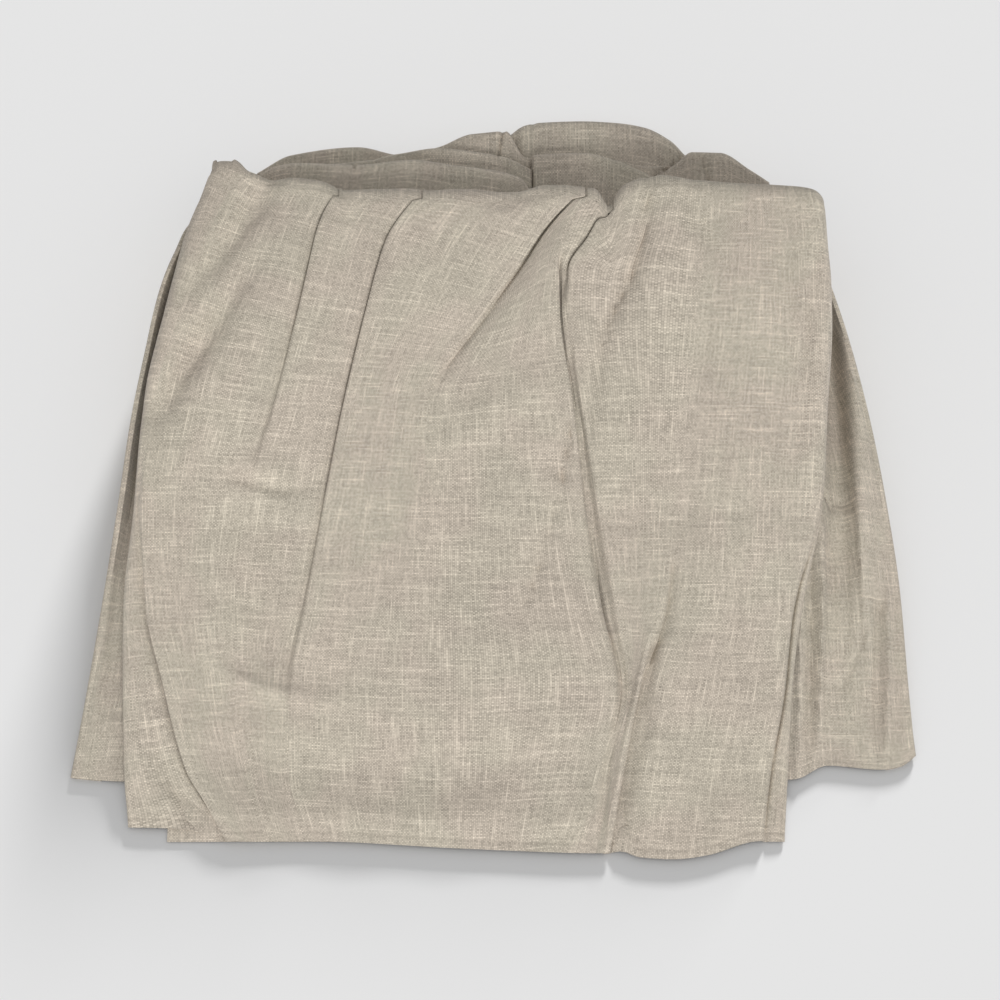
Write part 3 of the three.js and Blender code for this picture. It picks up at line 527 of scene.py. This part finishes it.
def pleat_section():
    """A pleat's section from the lower side to the upper, point by point.

    flat: place across where it has opened out. lapped and laps: the same where it
    is lapped, in mm and in laps. step and high: height where open and where lapped,
    as a share of the lift. groove: share of the crevice.
    """
    angles = np.radians(np.linspace(0, 180, TURN_POINTS + 2)[1:-1])
    rows = []
    for t, groove in zip(np.linspace(1, 0.15, LAYER_POINTS), (0.0, 0.35, 1.0)):
        rows.append((-2.2 * t, 0.0, 0.0, groove))
    # in under the upper side, round the first turn
    rows.append((0.5, 0.5, 0.0, 0.9))
    for angle in angles:
        rows.append((0.6 * math.sin(angle), 1.0, 0.25 * (1 - math.cos(angle)), 0.4))
    # back out and round the second, which is the pleat's edge
    rows.append((0.5, 0.5, 0.5, 0.0))
    for angle in angles:
        rows.append((-0.6 * math.sin(angle), 0.0, 0.5 + 0.25 * (1 - math.cos(angle)), 0.0))
    for t in np.linspace(0.25, 1, LAYER_POINTS):
        rows.append((2.6 * t, 0.0, 1.0, 0.0))
    lapped, laps, high, groove = np.array(rows).T
    flat = np.linspace(-1.9, 1.9, len(rows))
    step = ease((flat + 1.9) / 3.8)
    return dict(flat=flat, lapped=lapped, laps=laps, high=high, step=step, groove=groove)


SECTION = pleat_section()
HALF = len(SECTION["flat"]) // 2


def fades(y, whole, gone):
    """1 at `whole`, 0 at `gone`."""
    return ease((y - gone) / (whole - gone))


def off_hem(y):
    """Less deep by the hem, so that its edge stands off the floor all along."""
    return mix(LEAST_LIFT, 1, ease((y + 172) / 26))


def pleat_state(name, y):
    """A pleat's line, how far it is lapped, its upper side's height and its dip."""
    p = PLEATS[name]
    top = ease((p["top"] + TOP_OVER - y) / TOP_FADE) if "top" in p else 1.0
    here = fades(y, p["shut"], p["gone"]) * top
    lapped = fades(y, p["whole"], p["shut"]) * top
    crest = ease((y - CREST_FROM) / CREST_REACH)
    lift = p["lift"] * here * mix(1, 0.35, crest) * off_hem(y)
    dip = p["dip"] * here * mix(1, 0.3, crest) * off_hem(y)
    return line_at[name](y), lapped, lift, dip


def lift_beside(name, x, y):
    """What a pleat adds to the cloth beside it: a rise on one side, a dip on the other."""
    p = PLEATS[name]
    line, _, lift, dip = pleat_state(name, y)
    beside = p["over"] * (x - line)
    shape = hump(beside, p["dips"], p.get("power", 2))
    return np.where(beside < 0, -dip * shape, (lift - dip) * hump(beside, p["fade"]))


def panel_height(x, y):
    """The panel's underlying surface, without its pleats."""
    middle = near_top(y) - CREST_SAG * np.clip(y / 150, 0, 1) * ((x - 5) / 165) ** 4
    left, right = line_at["left_pleat"](y), line_at["right_ridge"](y)
    roll_left = np.clip((left - x) / (left - line_at["left_edge"](y)), 0, 1)
    roll_right = np.clip((x - right) / (line_at["right_edge"](y) - right), 0, 1)
    past_step = x - step_x(y)
    return (middle
            - drop_left(y) * (1 - (1 - roll_left ** EDGE_POWER) ** (1 / EDGE_POWER))
            - drop_right(y) * (1 - (1 - roll_right ** EDGE_POWER) ** (1 / EDGE_POWER))
            - step_deep(y) * (ease(past_step / STEP_WIDE) + 0.6 * hump(past_step - 1.7, 0.9)))


def panel_relief(x, y):
    """The panel's folds, unevenness and stitching, calmer by the hem."""
    soft = FOLD_DEPTH * folds_at(PANEL_FOLDS, x, y)
    soft = soft + UNEVEN * panel_uneven(x, y) + RIPPLE * panel_ripple(x, y)
    stitching = STITCH_DEEP * hump(y - hem_at(x) - HEM_DEEP, STITCH_WIDE)
    return soft * np.clip((y + 174) / 22, 0.15, 1) - stitching


def panel_shifts(x, level):
    """How far the hem's and the crest's lines move a level row of the panel."""
    near_hem = 1 - ease((level - HEM_LEVEL) / HEM_REACH)
    near_nose = ease((level - NOSE_FROM) / (BROW_LEVEL - NOSE_FROM))
    return ((hem_at(x) - HEM_LEVEL) * near_hem,
            (nose_at(x) - NOSE_RADIUS - BROW_LEVEL) * near_nose)


def pleat_columns(name, y):
    """A pleat's columns from left to right: place across, height over the panel."""
    p = PLEATS[name]
    line, lap, lift, dip = pleat_state(name, y)
    groove = p.get("groove", GROOVE) * lap * off_hem(y)
    groove = groove * (1 - ease((y - GROOVE_END) / GROOVE_FADE))
    order = range(len(SECTION["flat"]))
    columns = []
    for k in (order if p["over"] > 0 else reversed(order)):
        folded = SECTION["lapped"][k] + SECTION["laps"][k] * p["lap"]
        place = line + p["over"] * mix(SECTION["flat"][k], folded, lap)
        high = lift * mix(SECTION["step"][k], SECTION["high"][k], lap)
        columns.append((place, high - dip - groove * SECTION["groove"][k]))
    return columns


def panel_columns(y):
    """At each y of an array, by column: place across, height over the panel, the
    strip of cloth it belongs to; and the columns where the cloth starts anew."""
    places, lifts, strips, cuts, own = [], [], [], [], []
    flat = np.zeros_like(y)

    def add(place, lift, strip, owner=None):
        places.append(place)
        lifts.append(lift)
        strips.append(strip)
        own.append(owner)

    lines = {name: pleat_columns(name, y) if name in PLEATS else [(line_at[name](y), flat)]
             for name in LINES}
    names = list(LINES)
    strip = names[0]
    for name, after in zip(names, names[1:]):
        if name in PLEATS:
            # halfway round a pleat the next strip of cloth begins
            for n, (place, lift) in enumerate(lines[name]):
                if n == HALF:
                    cuts.append(len(places) - 1)
                    strip = name
                add(place, lift, strip, name)
        else:
            strip = name
            add(*lines[name][0], strip)
        begin, end = lines[name][-1][0], lines[after][0][0]
        for t in np.arange(1, FILL[name] + 1) / (FILL[name] + 1):
            # closer where the panel turns down at its sides
            if name == "left_edge":
                t = 1 - math.cos(t * math.pi / 2)
            if name == "right_ridge":
                t = math.sin(t * math.pi / 2)
            add(mix(begin, end, t), flat, strip)
    add(*lines[names[-1]][0], strip)
    x = np.stack(places, axis=1)
    lift = np.stack(lifts, axis=1)
    for name in PLEATS:
        mine = np.array([owner == name for owner in own])
        lift = lift + np.where(mine[None, :], 0.0, lift_beside(name, x, y[:, None]))
    return x, lift, strips, cuts


def make_near_drop():
    # up the panel from the hem to the crest, and from HEM_FREE on over the wings
    nominal = spans(*PANEL_ROWS)
    x, lift, strips, cuts = panel_columns(nominal)
    level = np.broadcast_to(nominal[:, None], x.shape)
    to_hem, to_nose = panel_shifts(x, level)
    y = level + to_hem + to_nose
    z = panel_height(x, level) + panel_relief(x, y) + lift
    z = np.where(y < HEM_FREE, z, np.maximum(z, far_height(x, y) + 2 * CLOTH))
    panel = np.stack([x, y, np.maximum(z, 0.4)], axis=2)

    # round the heading and a little way back under the panel
    x, lift, _, _ = panel_columns(STATIONS[-1:])
    x, lift = x[0], lift[0]
    brow, crest = np.full_like(x, BROW_LEVEL), LAYERS["y"][-1]
    top = (panel_height(x, brow) + panel[-1, :, 2]
           - panel_height(panel[-1, :, 0], brow) - lift)
    below = mix(far_top(crest), foot_top(crest), ease((x + 140) / 12)) + STEP
    radius = np.minimum(NOSE_RADIUS, (top - below - 6) / 2)
    y = nose_at(x) - NOSE_RADIUS
    centre = top - radius
    turns = []
    for degrees in np.linspace(12, 180, 16):
        angle = math.radians(degrees)
        stretch = np.where(radius > 10, 1.0, 1.2)
        turns.append(np.column_stack([
            x, y + (radius + lift) * math.sin(angle) * stretch,
            centre + (radius + lift) * math.cos(angle)]))
    for back in (0.33, 0.66, 1.0):
        turns.append(np.column_stack([
            x, y - back * RETURN, centre - (radius + lift) + back * RETURN * RETURN_SLOPE]))
    points = np.concatenate([panel, np.array(turns)])

    # the weave: warp threads run up each strip, weft threads across it
    width = arc_lengths(points, 1)
    u = width.mean(axis=0) + np.zeros((len(points), 1))
    for cut in cuts:
        start = cut + 1 - HALF
        end = start + len(SECTION["flat"])
        for k in range(start, cut + 1):
            u[:, k] = u[:, start - 1] + width[:, k] - width[:, start - 1]
        for k in range(cut + 1, end):
            u[:, k] = u[:, end] - (width[:, end] - width[:, k])
    along = arc_lengths(points, 0)
    v = along - along[MIDDLE_ROW] + along[MIDDLE_ROW].mean()
    share = np.ones(2 * EVEN + 1) / (2 * EVEN + 1)
    v = np.array([np.convolve(np.pad(row, EVEN, mode="edge"), share, mode="valid") for row in v])
    for name, turn in GRAIN.items():
        inside = np.array([strip == name for strip in strips])
        centre_x = points[MIDDLE_ROW, inside, 0].mean()
        v[:, inside] += (turn * (points[:, inside, 0] - centre_x)
                         * ease(points[:, inside, 1] / 120))
    return cloth("near_drop_cloth", points, (u, v, cuts))


# ---- foot drop: folded over once under the panel ----------------

FOOT_NOSE = table("x y", [
    (-126, 183), (-116, 190), (-104, 192), (-73, 191), (-43, 194), (-23, 191),
    (-2, 188), (14, 183), (24, 166), (60, 156), (118, 152),
])
FOOT_SIDES = table("y left right", [
    (-166, -160, 118), (-60, -158, 130), (60, -146, 134), (150, -128, 120), (195, -124, 116),
])
FOOT_RADIUS = 4.3
FOOT_SEAM = dict(x=-74.0, wide=0.9, deep=2.2)
FOOT_HEM = -165.0       # level of its first row
FOOT_BROW = 150.0       # where it starts to turn over
FOOT_END = 112.0        # and how far back it goes below
foot_nose = curve(FOOT_NOSE["x"], FOOT_NOSE["y"])
foot_left = curve(FOOT_SIDES["y"], FOOT_SIDES["left"])
foot_right = curve(FOOT_SIDES["y"], FOOT_SIDES["right"])


def panel_over(x, y):
    """Height of the panel's underlying surface at its real place along."""
    level = y.copy()
    for _ in range(4):
        level = y - sum(panel_shifts(x, level))
    return panel_height(x, level)


def make_foot_drop():
    left, right = foot_left(FOOT_BROW), foot_right(FOOT_BROW)
    seam_share = (FOOT_SEAM["x"] - left) / (right - left)
    share = np.sort(np.concatenate([
        np.linspace(0, 1, 150), seam_share + np.linspace(-0.008, 0.008, 11)]))
    grid = []
    for level in spans((FOOT_HEM, 100, 60), (104, FOOT_BROW, 16)):
        x = mix(foot_left(level), foot_right(level), share)
        reach = (foot_nose(x) - FOOT_RADIUS - FOOT_BROW) * ease((level - 60) / (FOOT_BROW - 60))
        y = level + reach
        # always below the panel, as far back as y = 90
        under = np.where(y < 90, panel_over(x, y) - STEP - 3.2 * ease((y + 158) / 20), np.inf)
        own = foot_top(level) - 2 * ease((y + 150) / 30) * ease((120 - y) / 30)
        grid.append(np.column_stack([x, y, np.maximum(0.35, np.minimum(own, under))]))
    x = mix(left, right, share)
    brow = float(foot_top(FOOT_BROW))
    radius = FOOT_RADIUS - FOOT_SEAM["deep"] * hump(x - FOOT_SEAM["x"], FOOT_SEAM["wide"])
    for degrees in np.linspace(15, 180, 12):
        angle = math.radians(degrees)
        grid.append(np.column_stack([
            x, foot_nose(x) - FOOT_RADIUS + radius * math.sin(angle),
            brow - FOOT_RADIUS + radius * math.cos(angle)]))
    for back in (0.25, 0.5, 0.75, 1.0):
        z = mix(brow - 2 * FOOT_RADIUS, float(far_top(FOOT_END)) + STEP + 0.3, back)
        grid.append(np.column_stack([
            x, mix(foot_nose(x) - FOOT_RADIUS, FOOT_END, back), np.full_like(x, z)]))
    return cloth("foot_drop_cloth", np.array(grid))


# ---- platform: back and forth under everything ------------------

PLATFORM_NOSES = table("x top mid low top_high mid_high low_high", [
    (-128, 188, 198, 193, 7, 7, 7),
    (-110, 196, 209, 200, 7, 7, 7),
    (-74, 200, 214, 204, 7, 7, 7),
    (-50, 205, 209, 205, 7, 7, 7),
    (-30, 208, 214, 208, 6, 9, 6),
    (-12, 206, 222, 212, 6, 9, 6),
    (6, 202, 223, 224, 5, 8, 8),
    (16, 197, 206, 230, 5, 3, 13),
    (19.8, 195, 205, 231, 5.2, 2.6, 13),
    (20.8, 203.5, 205, 231, 5.8, 2.2, 13),
    (24, 204, 205, 232, 6, 2, 13),
    (48, 205, 206, 233, 6, 2, 13),
    (66, 200, 204, 232, 6, 2, 13),
    (82, 192, 200, 229, 5, 3, 13),
    (96, 186, 202, 222, 5, 6, 10),
    (106, 184, 210, 212, 5, 8, 8),
    (122, 182, 210, 206, 5, 9, 7),
    (138, 178, 200, 198, 5, 9, 7),
    (152, 174, 190, 190, 5, 9, 7),
])
FAR_SEAMS = [
    # creases over the far noses, as in PANEL_FOLDS
    across(3, (84, 192, 1.5, -3.0), (95, 201, 1.5, -3.6), (104, 209, 1.5, -2.4)),
    up(4, (204, 112.3, 1.2, -1.8), (184, 115.8, 1.2, -2.4)),
    up(5, (222, 4.5, 1.2, -2.6), (206, 2.0, 1.2, -4.0)),
    up(3, (199, 20.4, 0.8, -3.4), (172, 20.4, 0.8, -3.4)),
    across(5, (-84, 203, 1.6, -2.2), (-65, 202, 1.6, -2.2)),
    across(12, (-44, 200, 3, -1.4), (-20, 197, 3, -1.8), (4, 195, 3, -1.2)),
    up(8, (196, 52, 5, -1.6), (180, 46, 6, -1.2)),
]
NEAR_TURNS = dict(start=PLATFORM_START, first=-82.0, second=-44.0, end=-18.0)
STATIONS_UNDER = (-82, -44, -18, 16, 50, 75, 100, 125, 150, 166)
nose_place = {name: curve(PLATFORM_NOSES["x"], PLATFORM_NOSES[name])
              for name in ("top", "mid", "low")}
nose_share = {name: curve(PLATFORM_NOSES["x"], PLATFORM_NOSES[name + "_high"])
              for name in ("top", "mid", "low")}


def platform_heights(x, y):
    """Heights of the six layers at a place: three open folds and two close ones."""
    surface, _ = wing_surface(x, np.minimum(y, FAR_END))
    top = surface - STEP - 2 * ease((x - 110) / 30)
    room = np.maximum(top - CAD_THICK / 2 - 2 * STEP, 3 * STEP)
    blend = ease((y - 60) / 90)
    total = sum(nose_share[name](x) for name in nose_share)
    share = {name: np.maximum(STEP, room * mix(1 / 3, nose_share[name](x) / total, blend))
             for name in nose_share}
    z = [np.full_like(x, CLOTH / 2)]
    z.append(z[0] + share["low"])
    z.append(z[1] + STEP)
    z.append(z[2] + share["mid"])
    z.append(z[3] + STEP)
    z.append(z[4] + share["top"])
    return z


def make_platform():
    # closer columns about the crease at x = 20
    x = spans((-128, 15, 120), (16, 25, 24), (26, 148, 140))
    grid = []

    def add(y, z, below=None, share=1.0):
        """A row of points, creased from above but never into the layer below."""
        if below is not None:
            crease = share * folds_at(FAR_SEAMS, x, y) * ease((y - 160) / 12)
            z = np.minimum(z, np.maximum(z + crease, below + 2 * CLOTH))
        grid.append(np.column_stack([x, y, z]))

    def far_end(name, lower, upper):
        """Where two layers start to turn into each other at the far end."""
        y = nose_place[name](x)
        z = platform_heights(x, y)
        return y - np.abs(z[upper] - z[lower]) / 2

    ends = {"low": far_end("low", 0, 1), "mid": far_end("mid", 2, 3),
            "top": far_end("top", 4, 5)}

    def layer(number, near_end, end, outwards):
        """One layer, away from the viewer or back."""
        places = [np.full_like(x, near_end)]
        places += [np.full_like(x, y) for y in STATIONS_UNDER if y > near_end]
        places += [mix(FAR_END, end, t) for t in (0.15, 0.3, 0.45, 0.6, 0.75, 0.88, 1.0)]
        for y in places if outwards else places[::-1]:
            z = platform_heights(x, y)
            add(y, z[number], None if outwards else z[number - 1])

    def turn(lower, upper, y, side, count):
        """The round fold from one layer into the next."""
        z = platform_heights(x, y)
        radius = (z[upper] - z[lower]) / 2
        for degrees in np.linspace(0, 180, count + 2)[1:-1]:
            angle = math.radians(degrees)
            add(y + side * radius * math.sin(angle),
                (z[upper] + z[lower]) / 2 - radius * math.cos(angle),
                z[lower], (1 - math.cos(angle)) / 2)

    def near(name):
        return np.full_like(x, NEAR_TURNS[name])

    layer(0, NEAR_TURNS["start"], ends["low"], True)
    turn(0, 1, ends["low"], 1, 9)
    layer(1, NEAR_TURNS["first"], ends["low"], False)
    turn(1, 2, near("first"), -1, 4)
    layer(2, NEAR_TURNS["first"], ends["mid"], True)
    turn(2, 3, ends["mid"], 1, 9)
    layer(3, NEAR_TURNS["second"], ends["mid"], False)
    turn(3, 4, near("second"), -1, 4)
    layer(4, NEAR_TURNS["second"], ends["top"], True)
    turn(4, 5, ends["top"], 1, 9)
    layer(5, NEAR_TURNS["end"], ends["top"], False)
    return cloth("platform_cloth", np.array(grid))


# ---- the linen --------------------------------------------------

THREAD = 0.75 * MM     # pitch of the weave


def linen_material():
    material = bpy.data.materials.new("slub_linen")
    material.use_nodes = True
    nodes, links = material.node_tree.nodes, material.node_tree.links
    shader = nodes["Principled BSDF"]
    shader.inputs["Roughness"].default_value = 0.9
    shader.inputs["Specular IOR Level"].default_value = 0.18
    shader.inputs["Sheen Weight"].default_value = 0.12
    shader.inputs["Sheen Roughness"].default_value = 0.5
    uv = nodes.new("ShaderNodeUVMap")
    uv.uv_map = "cloth"
    split = nodes.new("ShaderNodeSeparateXYZ")
    links.new(uv.outputs[0], split.inputs[0])

    def calc(operation, a, b=None, c=None):
        """A Math node; its inputs are sockets or numbers."""
        node = nodes.new("ShaderNodeMath")
        node.operation = operation
        for socket, value in zip(node.inputs, (a, b, c)):
            if value is None:
                continue
            if hasattr(value, "is_linked"):
                links.new(value, socket)
            else:
                socket.default_value = value
        return node.outputs[0]

    def smooth(value, low, high):
        """0 at low, 1 at high, and soft between."""
        node = nodes.new("ShaderNodeMapRange")
        node.interpolation_type = "SMOOTHSTEP"
        links.new(value, node.inputs["Value"])
        node.inputs["From Min"].default_value = low
        node.inputs["From Max"].default_value = high
        return node.outputs["Result"]

    def noise(across, along, detail):
        """Soft noise at a place given by two numbers, about 0.5 on average."""
        place = nodes.new("ShaderNodeCombineXYZ")
        links.new(across, place.inputs[0])
        links.new(along, place.inputs[1])
        node = nodes.new("ShaderNodeTexNoise")
        node.noise_dimensions = "2D"
        node.inputs["Scale"].default_value = 1.0
        node.inputs["Detail"].default_value = detail
        node.inputs["Roughness"].default_value = 0.55
        links.new(place.outputs[0], node.inputs["Vector"])
        return node.outputs["Fac"]

    def blobs(width, height, shift):
        """Noise over the cloth with blobs of width by height, in metres."""
        return noise(calc("MULTIPLY_ADD", split.outputs[0], 1 / width, shift),
                     calc("MULTIPLY_ADD", split.outputs[1], 1 / height, shift * 1.7), 2.0)

    def thread_tone(number, run, length, shift):
        """A thread's own lightness, changing slowly along it."""
        return noise(calc("MULTIPLY_ADD", number, 7.31, shift),
                     calc("MULTIPLY_ADD", run, 1 / length, shift * 0.3), 1.5)

    def crown(place):
        """A round thread: 1 on its crown, 0 between two."""
        return calc("ABSOLUTE", calc("SINE", calc("MULTIPLY", place, math.pi)))

    # every thread has its number; warp runs along v, weft along u
    warp = calc("MULTIPLY", split.outputs[0], 1 / THREAD)
    weft = calc("MULTIPLY", split.outputs[1], 1 / THREAD)
    warp_number, weft_number = calc("FLOOR", warp), calc("FLOOR", weft)
    warp_tone = thread_tone(warp_number, split.outputs[1], length=22 * MM, shift=2.7)
    weft_tone = thread_tone(weft_number, split.outputs[0], length=24 * MM, shift=9.4)
    # slubs: thick light stretches of one thread, which hide the threads they cross
    warp_slub = smooth(warp_tone, 0.56, 0.80)
    weft_slub = smooth(weft_tone, 0.55, 0.79)
    crossing = nodes.new("ShaderNodeTexWhiteNoise")
    crossing.noise_dimensions = "2D"
    pair = nodes.new("ShaderNodeCombineXYZ")
    links.new(warp_number, pair.inputs[0])
    links.new(weft_number, pair.inputs[1])
    links.new(pair.outputs[0], crossing.inputs["Vector"])

    # which thread is on top: they take turns
    turn = calc("FLOORED_MODULO", calc("ADD", warp_number, weft_number), 2.0)
    on_top = nodes.new("ShaderNodeMix")
    links.new(calc("MULTIPLY_ADD", turn, 0.6, 0.2), on_top.inputs["Factor"])
    links.new(warp_tone, on_top.inputs["A"])
    links.new(weft_tone, on_top.inputs["B"])
    warp_crown, weft_crown = crown(warp), crown(weft)
    # 1 on both threads' crowns, 0 in the pores between them: the mask for the painted shade between
    # the threads
    painted_gap_shade_mask = calc("MINIMUM", warp_crown, weft_crown)

    # the cloth's lightness: the upper thread's own, and what is added to it. Each
    # of these varies by its share, half of it lighter and half darker
    tone = calc("MULTIPLY_ADD", on_top.outputs["Result"], 0.60, 0.58)
    varied = [
        (blobs(60 * MM, 4 * MM, 5.1), 0.10),
        (blobs(4 * MM, 55 * MM, 1.9), 0.08),
        (blobs(40 * MM, 36 * MM, 7.7), 0.04),
        (crossing.outputs["Value"], 0.28),
        (turn, 0.14),
    ]
    for value, share in varied:
        tone = calc("ADD", tone, calc("MULTIPLY_ADD", value, share, -share / 2))
    # painted shade in the pores between the threads, where shade falls between their crowns, and
    # light slubs
    tone = calc("ADD", tone, calc("MULTIPLY_ADD", smooth(painted_gap_shade_mask, 0.0, 0.5), 0.36, -0.255))
    tone = calc("ADD", tone, calc("MULTIPLY", weft_slub, 0.14))
    tone = calc("ADD", tone, calc("MULTIPLY", warp_slub, 0.13))
    tone = calc("MULTIPLY", tone, 0.98)

    base = nodes.new("ShaderNodeMix")
    base.data_type = "RGBA"
    base.inputs["A"].default_value = (0.531, 0.465, 0.387, 1)
    base.inputs["B"].default_value = (0.522, 0.471, 0.385, 1)
    links.new(smooth(blobs(34 * MM, 44 * MM, 3.3), 0.32, 0.68), base.inputs["Factor"])
    shade = nodes.new("ShaderNodeVectorMath")
    shade.operation = "SCALE"
    links.new(base.outputs["Result"], shade.inputs[0])
    links.new(tone, shade.inputs["Scale"])
    links.new(shade.outputs[0], shader.inputs["Base Color"])

    # relief: the upper thread's crown, and the slubs standing proud
    crown_on_top = nodes.new("ShaderNodeMix")
    links.new(turn, crown_on_top.inputs["Factor"])
    links.new(warp_crown, crown_on_top.inputs["A"])
    links.new(weft_crown, crown_on_top.inputs["B"])
    relief = calc("MULTIPLY_ADD", crown_on_top.outputs["Result"], 0.5,
                  calc("MULTIPLY", calc("MAXIMUM", weft_slub, warp_slub), 0.6))
    relief = calc("ADD", relief, calc("MULTIPLY", crossing.outputs["Value"], 0.3))
    bump = nodes.new("ShaderNodeBump")
    bump.inputs["Strength"].default_value = 0.6
    bump.inputs["Distance"].default_value = 0.25 * MM
    links.new(relief, bump.inputs["Height"])
    links.new(bump.outputs[0], shader.inputs["Normal"])
    return material


# ---- camera, floor and light ------------------------------------

ELEVATION = math.radians(69.0)
DISTANCE = 1.150        # metres from the camera to the point that it looks at
LOOK = Vector((0.003, SHIFT_Y * MM, 0.038))
LENS = 82.8             # focal length, and the width of the sensor
SENSOR = 36.0
FLOOR_HALF = 3.0        # metres from the floor's middle to its sides


def make_camera():
    data = bpy.data.cameras.new("camera")
    data.sensor_width = SENSOR
    data.lens = LENS
    camera = bpy.data.objects.new("camera", data)
    bpy.context.scene.collection.objects.link(camera)
    back = Vector((0, -math.cos(ELEVATION), math.sin(ELEVATION)))
    camera.location = LOOK + back * DISTANCE
    camera.rotation_euler = (math.pi / 2 - ELEVATION, 0, 0)
    bpy.context.scene.camera = camera


def sun(name, towards, softness, strength):
    """A distant white light; softness is its width in degrees."""
    data = bpy.data.lights.new(name, "SUN")
    data.angle = math.radians(softness)
    data.energy = strength
    light = bpy.data.objects.new(name, data)
    light.rotation_euler = Vector(towards).to_track_quat("Z", "Y").to_euler()
    bpy.context.scene.collection.objects.link(light)
    return light


def only_for(light, objects):
    """Light linking: the light reaches only these objects."""
    lit = bpy.data.collections.new(light.name + "_lights")
    for thing in objects:
        lit.objects.link(thing)
    light.light_linking.receiver_collection = lit


def make_stage(cloths):
    mesh = bpy.data.meshes.new("floor")
    corners = [(x * FLOOR_HALF, y * FLOOR_HALF, 0) for x, y in ((-1, -1), (1, -1), (1, 1), (-1, 1))]
    mesh.from_pydata(corners, [], [(0, 1, 2, 3)])
    floor = bpy.data.objects.new("floor", mesh)
    bpy.context.scene.collection.objects.link(floor)
    material = bpy.data.materials.new("floor")
    material.use_nodes = True
    shader = material.node_tree.nodes["Principled BSDF"]
    shader.inputs["Base Color"].default_value = (0.8, 0.8, 0.8, 1)
    shader.inputs["Roughness"].default_value = 0.9
    shader.inputs["Specular IOR Level"].default_value = 0.1
    mesh.materials.append(material)

    world = bpy.data.worlds.new("studio")
    bpy.context.scene.world = world
    world.use_nodes = True
    background = world.node_tree.nodes["Background"]
    background.inputs["Color"].default_value = (1, 1, 1, 1)
    background.inputs["Strength"].default_value = 0.56
    # one light is for the cloth; two are for the floor, with a soft shade low left
    key = sun("key", towards=(0.14, -0.82, 0.66), softness=22, strength=2.35)
    low_sun = sun("floor_low", towards=(1.2, 4.2, 1.0), softness=9, strength=5.2)
    high_sun = sun("floor_high", towards=(0, 0, 1), softness=8, strength=0.15)
    only_for(key, cloths)
    only_for(low_sun, [floor])
    only_for(high_sun, [floor])


make_camera()
bpy.context.scene.view_settings.view_transform = "Standard"

linen = linen_material()
PIECES = [
    # maker, the CAD node it stands for, how it is held, what it rests on
    (make_near_drop, "near_drop", "folded", ["foot_drop_cloth", "far_drop_cloth"]),
    (make_foot_drop, "foot_drop", "folded", ["far_drop_cloth"]),
    (make_far_drop, "far_drop", "folded", ["platform_cloth", "floor"]),
    (make_platform, "platform", "folded", ["floor"]),
]
cloths = []
for make, node, held, rests_on in PIECES:
    piece = make()
    piece.data.materials.append(linen)
    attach(piece, "root")
    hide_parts(node)
    cloths.append(piece)
make_stage(cloths)
